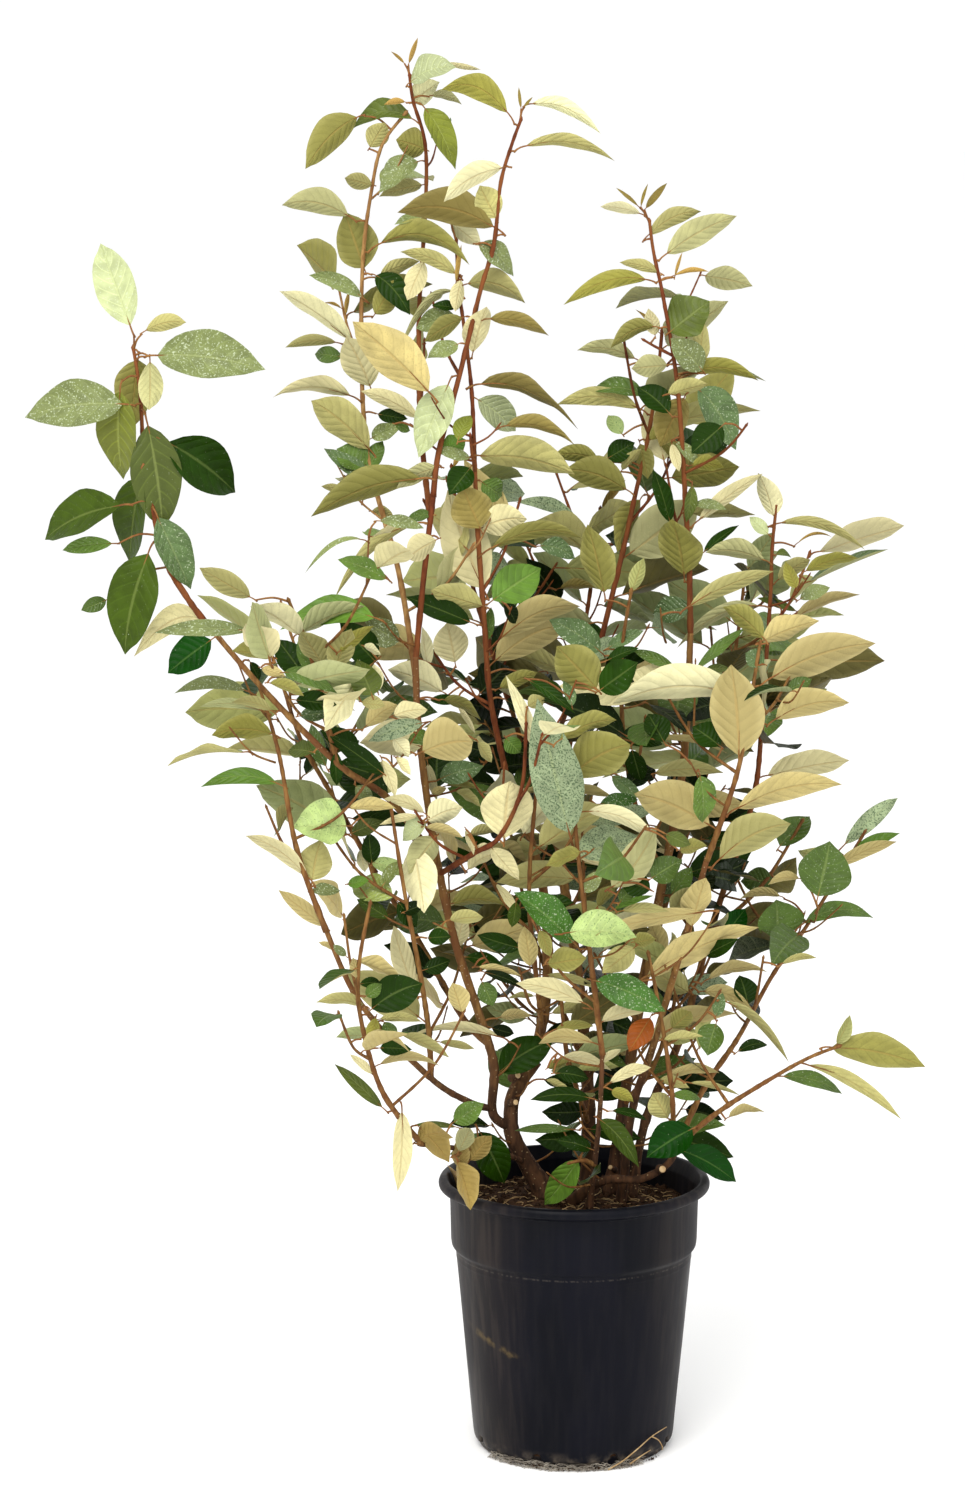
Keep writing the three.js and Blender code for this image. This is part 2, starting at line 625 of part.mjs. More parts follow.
// Leaves set one by one: the height on the stem, and how far the tip lies from there.
function ownLeaves(mass, name, points) {
  return (mass.own ?? []).map(([height, ...reach]) => {
    const away = (p) => Math.abs(p[2] - height);
    const base = points.reduce((a, b) => (away(b) < away(a) ? b : a));
    const width = LEAF_WIDTH * OWN_WIDTH;
    const leaf = makeLeaf(base, reach, mass.light ?? LIGHT, Math.hypot(...reach), width, name);
    return { ...leaf, own: true };
  });
}

// A side twig that leaves the stem at a golden angle from the last one and turns upward.
function sideTwig(mass, points, step, i) {
  const total = step * (points.length - 1);
  const far = (i + 0.35 + 0.5 * chance(mass.seed, i, 21)) / (mass.twigs + 0.6);
  const place = placeOn(points, step, FIRST_TWIG + (total * TWIG_ZONE - FIRST_TWIG) * far);
  const turn = mass.seed + i * GOLDEN_TURN + spread(mass.seed, i, 22, TURN_SPREAD);
  const rise = TWIG_RISE[0] + (TWIG_RISE[1] - TWIG_RISE[0]) * chance(mass.seed, i, 23);
  const length = TWIG_LENGTH[0] + (TWIG_LENGTH[1] - TWIG_LENGTH[0]) * chance(mass.seed, i, 24);
  const out = [Math.sin(turn) * Math.cos(rise), Math.cos(turn) * Math.cos(rise), Math.sin(rise)];
  const half = add(place, scale(out, length / 2));
  const end = add(add(place, scale(out, length * TWIG_OUT)), [0, 0, length * TWIG_UP]);
  return { points: smooth([place, half, end], TWIG_FINE_STEP), turn };
}

function twigLeaves(mass, name, twig, i) {
  const step = Math.hypot(...sub(twig.points[1], twig.points[0]));
  const total = step * (twig.points.length - 1);
  const { spacing, size, lift, bare, back, hours } = TWIG_LEAVES;
  const count = Math.max(Math.round(total / spacing), 2);
  const length = LEAF_LENGTH * size * (mass.size ?? 1);
  const leaves = [];
  for (let k = 0; k < count; k += 1) {
    const place = placeOn(twig.points, step, total * (bare + ((1 - bare) * k) / (count - 1)) - back);
    const side = k === count - 1 ? 0 : (k % 2) * 2 - 1;
    const hour = (twig.turn * 6) / Math.PI + side * hours;
    const item = TWIG_LEAVES.item + i * 10 + k;
    leaves.push(leafAt(place, hour, lift, length, mass.light ?? LIGHT, mass.seed, item, name));
  }
  return leaves;
}

// Solids for joining and cutting.
function toSolid({ positions, faces }) {
  const vertProperties = new Float32Array(positions.flat());
  const triVerts = new Uint32Array(faces.flat());
  return new wasm.Manifold(new wasm.Mesh({ numProp: 3, vertProperties, triVerts }));
}

// The largest closed shell of a solid: loose scraps and sealed hollows are left out.
function largestShell(solid) {
  const mesh = solid.getMesh();
  const { vertProperties, triVerts, numProp } = mesh;
  const count = vertProperties.length / numProp;
  const parent = Array.from({ length: count }, (_, i) => i);
  const find = (i) => {
    while (parent[i] !== i) {
      parent[i] = parent[parent[i]];
      i = parent[i];
    }
    return i;
  };
  for (let i = 0; i < triVerts.length; i += 3) {
    parent[find(triVerts[i])] = find(triVerts[i + 1]);
    parent[find(triVerts[i + 1])] = find(triVerts[i + 2]);
  }
  const point = (i) => Array.from(vertProperties.slice(i * numProp, i * numProp + 3));
  const volume = new Map();
  for (let i = 0; i < triVerts.length; i += 3) {
    const [a, b, c] = [0, 1, 2].map((k) => point(triVerts[i + k]));
    const shell = find(triVerts[i]);
    volume.set(shell, (volume.get(shell) ?? 0) + dot(a, cross(b, c)) / 6);
  }
  const best = [...volume].reduce((a, b) => (b[1] > a[1] ? b : a))[0];
  const positions = [];
  const faces = [];
  const renumber = new Map();
  for (let i = 0; i < triVerts.length; i += 3) {
    if (find(triVerts[i]) !== best) continue;
    faces.push([0, 1, 2].map((k) => {
      const v = triVerts[i + k];
      if (renumber.has(v) === false) {
        renumber.set(v, positions.length);
        positions.push(point(v));
      }
      return renumber.get(v);
    }));
  }
  return { positions, faces };
}

function toMesh(name, { positions, faces }, colour, roughness) {
  const geometry = new THREE.BufferGeometry();
  geometry.setAttribute('position', new THREE.BufferAttribute(new Float32Array(positions.flat()), 3));
  geometry.setIndex(faces.flat());
  geometry.computeVertexNormals();
  const material = new THREE.MeshStandardMaterial({ color: colour, roughness, metalness: 0 });
  const mesh = new THREE.Mesh(geometry, material);
  mesh.name = name;
  return mesh;
}

// A shape turned about the upright axis from a profile of [radius, height] points.
function turned(name, profile, colour, roughness) {
  const points = profile.map(([r, z]) => new THREE.Vector2(r, z));
  const geometry = new THREE.LatheGeometry(points, POT_SIDES);
  geometry.rotateX(Math.PI / 2);
  const material = new THREE.MeshStandardMaterial({ color: colour, roughness, metalness: 0 });
  const mesh = new THREE.Mesh(geometry, material);
  mesh.name = name;
  return mesh;
}

// Height of the wall's inner face and its radius there, for the pot and for the soil that fills it.
const BAND_FOOT = POT_HEIGHT - LIP_HEIGHT - BAND_HEIGHT;
const LIP_FOOT = POT_HEIGHT - LIP_HEIGHT;

function innerRadius(z) {
  if (z >= BAND_FOOT) return BAND_FOOT_RADIUS - WALL;
  const t = (z - WALL_LIFT) / (BAND_FOOT - WALL_LIFT);
  return BODY_FOOT_RADIUS + (BODY_TOP_RADIUS - BODY_FOOT_RADIUS) * t - WALL;
}

function makePot() {
  const outside = [
    [0, 0], [FOOT_RADIUS, 0], [FOOT_RADIUS, WALL_LIFT], [BODY_FOOT_RADIUS, WALL_LIFT],
    [BODY_TOP_RADIUS, BAND_FOOT - 2], [BAND_FOOT_RADIUS, BAND_FOOT], [BAND_TOP_RADIUS, LIP_FOOT],
    [RIM_RADIUS - LIP_ROUND, LIP_FOOT], [RIM_RADIUS, LIP_FOOT + LIP_ROUND],
    [RIM_RADIUS, POT_HEIGHT - LIP_ROUND], [RIM_RADIUS - LIP_ROUND, POT_HEIGHT],
    [BAND_TOP_RADIUS + 2, POT_HEIGHT],
  ];
  const inside = [
    [BAND_TOP_RADIUS - WALL + 0.5, LIP_FOOT], [innerRadius(BAND_FOOT), BAND_FOOT],
    [innerRadius(BAND_FOOT - BEND_HEIGHT), BAND_FOOT - BEND_HEIGHT],
    [innerRadius(WALL_LIFT + BASE), WALL_LIFT + BASE], [0, WALL_LIFT + BASE],
  ];
  return turned('pot', [...outside, ...inside], COLOURS.pot, ROUGHNESS.pot);
}

function makeSoil() {
  const foot = WALL_LIFT + BASE + GAP;
  const bend = BAND_FOOT - BEND_HEIGHT;
  const wide = innerRadius(BAND_FOOT) - 2 * GAP;
  const profile = [
    [0, foot], [innerRadius(foot) - 2 * GAP, foot], [innerRadius(bend) - 2 * GAP, bend],
    [wide, BAND_FOOT + 2], [wide, SOIL_EDGE], [SOIL_LEVEL_RADIUS, SOIL_TOP - GAP], [0, SOIL_TOP - GAP],
  ];
  return turned('soil', profile, COLOURS.soil, ROUGHNESS.soil);
}

// The radius of a limb at a part of its length, with the flare at a trunk's foot.
function limbRadius(limb, t, length) {
  const taper = limb.radius[0] + (limb.radius[1] - limb.radius[0]) * t;
  return taper + (limb.flare ?? 0) * Math.exp((-t * length) / FLARE_HEIGHT);
}

// A limb's tube, grown by some clearance where another piece is cut to it.
function limbTube(limb, grow) {
  const step = limb.flare ? TRUNK_STEP : BOUGH_STEP;
  const points = smooth(limb.route, step);
  const length = step * (points.length - 1);
  const radii = points.map((_, i) => limbRadius(limb, i / (points.length - 1), length) + grow);
  if (grow > 0) {
    const last = points.length - 1;
    points[last] = add(points[last], scale(unit(sub(points[last], points[last - 1])), grow));
  }
  return tube(points, radii, LIMB_SIDES);
}

// A trunk is cut level at the soil.
function levelFoot(shape, sides) {
  shape.positions.slice(0, sides).forEach((p) => {
    p[2] = SOIL_TOP;
  });
  return shape;
}

const part = new THREE.Group();
part.add(makePot());
part.add(makeSoil());

const grownLimbs = {};
for (const [name, limb] of Object.entries(LIMBS)) {
  const shape = limb.on ? limbTube(limb, 0) : levelFoot(limbTube(limb, 0), LIMB_SIDES);
  let solid = toSolid(shape);
  if (limb.on) solid = solid.subtract(grownLimbs[limb.on]);
  part.add(toMesh(name, largestShell(solid), limb.colour, ROUGHNESS.bark));
  grownLimbs[name] = toSolid(limbTube(limb, GAP));
  const points = smooth(limb.route, FINE_STEP);
  const length = FINE_STEP * points.length;
  keepStem(points, points.map((_, i) => limbRadius(limb, i / (points.length - 1), length)), name);
}

// Stems of all the masses first, then their side twigs, then the leaves, so that wood has the right of way.
const grown = {};
for (const [name, mass] of Object.entries(MASSES)) {
  const points = smooth(mass.route, FINE_STEP);
  const step = Math.hypot(...sub(points[1], points[0]));
  const radii = tapering(STEM_RADIUS, points.length);
  keepStem(points, radii, name);
  grown[name] = { mass, points, step, twigs: [], leaves: [] };
}

for (const [name, item] of Object.entries(grown)) {
  for (let i = 0; i < item.mass.twigs; i += 1) {
    const twig = sideTwig(item.mass, item.points, item.step, i);
    if (twigIsFree(twig.points, twig.points[0]) === false) continue;
    const id = `${name} twig ${i}`;
    const fine = smooth(twig.points, FINE_STEP);
    keepStem(fine, tapering(TWIG_RADIUS, fine.length), id);
    item.twigs.push({ ...twig, id, number: i });
  }
}

for (const [name, item] of Object.entries(grown)) {
  const wanted = ownLeaves(item.mass, name, item.points);
  wanted.push(...stemLeaves(item.mass, name, item.points, item.step));
  for (const twig of item.twigs) wanted.push(...twigLeaves(item.mass, twig.id, twig, twig.number));
  for (const leaf of wanted) {
    const tip = leafPoint(leaf, 1, 0);
    if (item.points.every((p) => Math.hypot(...sub(p, tip)) > REACH)) continue;
    if (leafIsFree(leaf) === false) continue;
    keepLeaf(leaf);
    item.leaves.push(leaf);
  }
}

// Each mass is fused into one solid. What would touch an earlier mass or a limb is left out.
const finished = Object.values(grownLimbs);
const touches = (solid) => finished.some((other) => solid.intersect(other).getMesh().triVerts.length > 0);

for (const [name, item] of Object.entries(grown)) {
  const stem = smooth(item.mass.route, STEM_STEP);
  const axes = { [name]: stem };
  let solid = toSolid(tube(stem, tapering(STEM_RADIUS, stem.length), 3));
  solid = solid.subtract(grownLimbs[item.mass.on]);
  for (const twig of item.twigs) {
    const points = smooth(twig.points, TWIG_STEP);
    points[0] = seatOn(stem, points[0]);
    const wood = toSolid(tube(points, tapering(TWIG_RADIUS, points.length), 3));
    if (touches(wood)) continue;
    axes[twig.id] = points;
    solid = solid.add(wood);
  }
  for (const leaf of item.leaves) {
    if (axes[leaf.twig] === undefined) continue;
    const outline = leaf.twig === name ? STEM_OUTLINE : TWIG_OUTLINE;
    const blade = toSolid(leafSolid({ ...leaf, base: seatOn(axes[leaf.twig], leaf.base) }, outline));
    if (touches(blade) === false) solid = solid.add(blade);
  }
  const shape = largestShell(solid);
  finished.push(toSolid(shape));
  part.add(toMesh(name, shape, COLOURS.leaf, ROUGHNESS.leaf));
}

export default part;
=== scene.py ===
"""Potted ebbinges silverberry: a young evergreen shrub of long upright shoots in a black nursery pot.

The plant is grown here by the same rule as its solids, in millimetres, and carried on to finer twigs.
Every mesh is turned to metres when it is made. +Z is up and +Y is the back of the front view.
"""

import math
from collections import Counter

import bpy
import numpy as np
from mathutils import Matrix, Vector, noise


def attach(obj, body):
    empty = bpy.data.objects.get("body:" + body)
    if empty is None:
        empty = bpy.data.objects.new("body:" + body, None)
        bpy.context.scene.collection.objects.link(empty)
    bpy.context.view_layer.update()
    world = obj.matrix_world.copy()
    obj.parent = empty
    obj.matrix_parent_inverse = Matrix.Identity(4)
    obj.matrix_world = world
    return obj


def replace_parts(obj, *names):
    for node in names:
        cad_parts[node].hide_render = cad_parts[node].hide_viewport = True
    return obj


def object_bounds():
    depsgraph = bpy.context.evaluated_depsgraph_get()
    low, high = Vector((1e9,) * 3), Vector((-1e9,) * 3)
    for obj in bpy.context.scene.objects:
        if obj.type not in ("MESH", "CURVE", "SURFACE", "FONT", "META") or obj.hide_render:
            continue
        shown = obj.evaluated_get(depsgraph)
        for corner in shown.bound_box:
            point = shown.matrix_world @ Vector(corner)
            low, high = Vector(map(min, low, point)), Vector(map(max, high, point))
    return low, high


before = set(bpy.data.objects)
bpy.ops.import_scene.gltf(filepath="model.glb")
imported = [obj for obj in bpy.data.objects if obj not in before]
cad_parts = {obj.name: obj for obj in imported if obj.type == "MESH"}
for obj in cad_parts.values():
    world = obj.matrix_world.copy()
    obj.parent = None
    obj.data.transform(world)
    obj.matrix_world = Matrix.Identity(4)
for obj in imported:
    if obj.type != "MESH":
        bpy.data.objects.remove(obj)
CAD_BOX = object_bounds()

MM = 0.001
MOST_TRIANGLES = 190_000

# Pot: heights and radii of its lip, stacking band, wall and foot.
POT_HEIGHT = 263
RIM_RADIUS = 130
LIP_FOOT = 252
BAND_FOOT = 197
BAND_TOP_RADIUS = 119
BAND_FOOT_RADIUS = 117.5
BODY_TOP_RADIUS = 113.5
BODY_FOOT_RADIUS = 96
WALL = 2.8
WALL_LIFT = 8
FOOT_RADIUS = 91
SOIL_TOP = 238
SOIL_EDGE = 233
SOIL_LEVEL_RADIUS = 70

# Growth: leaves, stems, side twigs and the clear room that each keeps.
LEAF_LENGTH = 95
LEAF_WIDTH = 0.46
STALK = 0.1
BLADE_START = 0.08
BLADE_SWELL = 0.85
BLADE_FOLD = 0.16
BLADE_DROOP = 0.13
LEAF_SPREAD = {"turn": 0.25, "lift": 0.3, "face": 0.5, "size": 0.16, "width": 0.12}
FIRST_LEAF = 18
LAST_LEAF = 4
LEAF_STAGGER = (0.3, 0.2)
STEM_LIFT = 0.3
FOOT_LENGTH = 1.06
LENGTH_LOSS = 0.3
TIP_PAIR = {"back": 3, "lift": 1, "size": 0.42, "item": 40}
OWN_WIDTH = 1.1
TWIG_LEAVES = {"spacing": 26, "size": 0.8, "lift": 0.35, "bare": 0.3, "back": 2, "hours": 2.3, "item": 100}
STEM_RADIUS = (2.9, 1.5)
TWIG_RADIUS = (1.6, 1.2)
TWIG_LENGTH = (60, 120)
FIRST_TWIG = 22
TWIG_ZONE = 0.85
TWIG_STAGGER = (0.35, 0.5, 0.6)
GOLDEN_TURN = 2.4
TURN_SPREAD = 0.4
TWIG_RISE = (0.45, 0.8)
TWIG_OUT = 0.9
TWIG_UP = 0.25
SPAN_SAMPLES = 12
FINE_STEP = 5
TWIG_FINE_STEP = 10
REACH = 180
LEAF_ROOM = 4.5
OWN_ROOM = 1.5
STEM_ROOM = 2.5
TWIG_ROOM = 5
POT_ROOM = 4
WALL_ROOM = 8
LEAF_FOOT = 14
TWIG_FOOT = 16
MEETING = 0.56
FLARE_HEIGHT = 14
LIGHT = (0.1, 0.85, 0.5)
MOST_LEAVES = 6000

# How much larger a leaf is drawn than in the solids: a height with its factor low down and high up, and
# how far the factor and the width vary. Then how far the leaf turns about each of its own directions.
DRAWN_LOW = (350, 0.92)
DRAWN_HIGH = (900, 1.22)
DRAWN_SPREAD = 0.12
DRAWN_WIDTH = (0.8, 0.24)
DRAWN_TURNS = (("face", 58, 0.3), ("across", 59, 0.34), ("along", 60, 0.5))
COPPER_WIDTH = 0.5

# Leaves of the rule give way to the leaves shown singly, in the view: where their middles lie nearer than
# SHOWN_ROOM of both lengths and no more than SHOWN_DEPTH behind, above SHOWN_TOP if they point sideways,
# and all of them left of FAR_LEFT. Those that point back by END_ON or reach past FRONT_REACH stay. A twig
# that has BARE_SHARE of its leaves left, or less, is taken out or ends at the last leaf that it carries.
SHOWN_ROOM = 0.23
SHOWN_DEPTH = 30
SHOWN_TOP = 830
SIDEWAYS = 0.7
SIDEWAYS_DEPTH = 90
FAR_LEFT = -300
END_ON = 0.72
FRONT_REACH = -228
BARE_SHARE = 0.3
MIDDLE = 0.55

# A leaf shown singly: the stalk before its base and what depth costs in the search for its stem, both as
# parts, how far it lies in front of that stem, how it leans to or from the front, and how its face turns.
SHOWN_STALK = 0.14
DEPTH_COST = 0.14
SHOWN_LIFT = 1
FAR_LEFT_FRONT = 9
FAR_LEFT_BACK = 12
FAR_LEFT_NARROW = 20
SHOWN_LEAN = 0.55
SHOWN_FACE = {"ahead": 0.9, "up": 0.4, "sway": 0.35, "rise": 0.3}
WIDTH_SEEN = 0.9
STALK_GAP = 3
STALK_ARCH = 0.12

# Places of the front view that the leaves of the rule leave clear, each with its reach: the trunks' foot,
# where leaves further back than FOOT_BACK may stay, and the sky between the sprays.
FOOT_CLEAR = ((524, 1110, 30), (522, 1150, 30), (528, 1180, 30), (640, 1036, 30), (500, 1160, 30))
FOOT_BACK = 60
SKY_CLEAR = (
    (885, 745, 32), (880, 700, 40), (892, 555, 26), (275, 930, 28), (320, 1000, 34), (318, 965, 24),
    (235, 597, 34), (288, 565, 26), (620, 425, 26), (640, 345, 22), (405, 455, 22), (410, 500, 20),
    (790, 400, 40), (748, 392, 24), (738, 342, 26), (725, 300, 26), (655, 565, 20), (650, 640, 22),
    (700, 652, 24), (628, 705, 18), (780, 562, 16), (405, 1180, 32), (290, 780, 22), (340, 870, 20),
    (352, 908, 18), (800, 740, 22), (818, 800, 22), (790, 1000, 18), (700, 592, 16), (300, 1010, 26),
    (305, 262, 22),
)

# The shaded inside of the crown: its middle height and half height, half its width and depth, how far
# back it lies, and the part of its leaves that are given painted shade, very dark colours in place of
# shade.
INNER_MIDDLE = 560
INNER_HALF = 250
INNER_WIDE = 210
INNER_DEEP = 130
INNER_BACK = 70
INNER_SHARE = 0.6

# Finer growth: short twigs between the side twigs and straight on the limbs, with small leaves close
# together.
FINER_LENGTH = (34, 78)
FINER_RADIUS = (1.15, 0.75)
FINER_ROOM = 2.2
FINER_TWIG_ROOM = 2.5
FINER_ZONE = (0.08, 0.84)
FINER_TURN = 1.7
FINER_TURN_SPREAD = 0.9
FINER_RISE = (0.05, 0.75)
FINER_LEAF = 70
FINER_SPACING = 15
FINER_HOURS = (1.6, 1.2)
FINER_LEAF_ZONE = (0.18, 0.82)
FINER_TAPER = (1.1, 0.35)
FINER_LIFT = 0.2
FINER_ITEM = 1000
FRONT_LIGHT = (0.05, -0.75, 0.6)

# Limbs, each with its route from foot to tip, its radius at both ends, and how much wider it is at the
# soil if it stands there.

def limb(radius, route, flare=0, wood="bark"):
    return {"radius": radius, "route": route, "flare": flare, "wood": wood}


LIMBS = {
    "trunk_left": limb((9, 6), [
        (-26, 25, SOIL_TOP), (-50, 15, 280), (-60, 9, 305), (-59, 12, 335), (-50, 18, 352),
        (-36, 24, 370)], flare=5),
    "trunk_middle": limb((7, 4.2), [
        (14, 52, SOIL_TOP), (15, 55, 320), (5, 68, 440), (-8, 80, 525), (-15, 85, 585)], flare=3),
    "trunk_right": limb((6, 3), [
        (36, 34, SOIL_TOP), (45, 30, 305), (51, 36, 345), (71, 50, 465), (95, 60, 590), (106, 60, 670),
        (110, 52, 780)], flare=3),
    "stem_back_right": limb((4.5, 2.8), [
        (56, 20, SOIL_TOP), (70, 36, 310), (104, 60, 385), (131, 75, 480), (155, 84, 555)], flare=2),
    "stem_front_right": limb((4.2, 2.6), [
        (46, 2, SOIL_TOP), (54, -22, 330), (72, -52, 400), (100, -80, 510), (120, -95, 590)], flare=2),
    "stem_front": limb((2.8, 2.1), [
        (14, -24, SOIL_TOP), (22, -60, 330), (24, -93, 405)], flare=1.5),
    "stem_low_right": limb((4.6, 3), [
        (-4, -6, SOIL_TOP), (28, -22, 264), (62, -40, 270), (88, -50, 288), (96, -54, 308)], flare=2),
    "bough_centre": limb((5.6, 3.4), [
        (-39, 22.5, 365), (-26, 22, 445), (-30, 12, 540), (-52, 0, 620), (-65, -5, 652)]),
    "bough_left_upright": limb((4.6, 3), [
        (-60, 9, 308), (-78, -4, 326), (-77, -15, 375), (-92, -26, 430), (-115, -40, 505),
        (-134, -45, 600), (-147, -42, 700), (-150, -40, 770)]),
    "bough_left_upper": limb((2.9, 2.5), [
        (-150, -40, 767), (-141, -32, 855), (-133, -22, 920)], wood="shoot"),
    "bough_far_left": limb((3.4, 2.4), [
        (-130, -45, 575), (-172, -78, 640), (-220, -110, 680), (-285, -130, 750), (-338, -140, 815)]),
    "bough_left_back": limb((3.2, 2.3), [
        (-81, -19, 395), (-107, -6, 420), (-150, 22, 490), (-192, 50, 550)]),
    "bough_low_left": limb((3.3, 2.3), [
        (-78, -6, 330), (-100, -28, 342), (-138, -62, 375), (-200, -110, 455), (-232, -128, 530)]),
    "bough_front_left": limb((3, 2.2), [
        (-46, 16, 272), (-72, -26, 292), (-105, -62, 305), (-147, -110, 322)]),
    "bough_right_tall": limb((3.6, 2.6), [
        (-14.5, 84.5, 582), (0, 95, 690), (25, 105, 760)]),
    "bough_back": limb((3, 2.3), [
        (-11, 82, 555), (-38, 120, 625), (-62, 160, 700)]),
    "bough_back_right": limb((3, 2.3), [
        (62, 44, 420), (88, 100, 500), (120, 160, 590)]),
}

# Foliage. twigs is the number of side twigs. clock gives one letter for each leaf up the stem, the hour
# that it points to seen from above: 6 to the front, 9 to the left, x for ten, e for eleven. kinds are
# those of its leaves, finer is the number of finer twigs, front is the part of their sprays that turn the
# upper faces to the front, and wood is that of its shoots. own lists leaves that stand out: the height on
# the stem, and the way to the tip.

def mass(seed, twigs, clock, kinds, finer, front, wood, route, own=(), own_kinds="", light=LIGHT, size=1):
    return {
        "seed": seed, "twigs": twigs, "clock": clock, "kinds": kinds.split(), "finer": finer,
        "front": front, "wood": wood, "route": route, "own": own, "own_kinds": own_kinds.split(),
        "light": light, "size": size,
    }


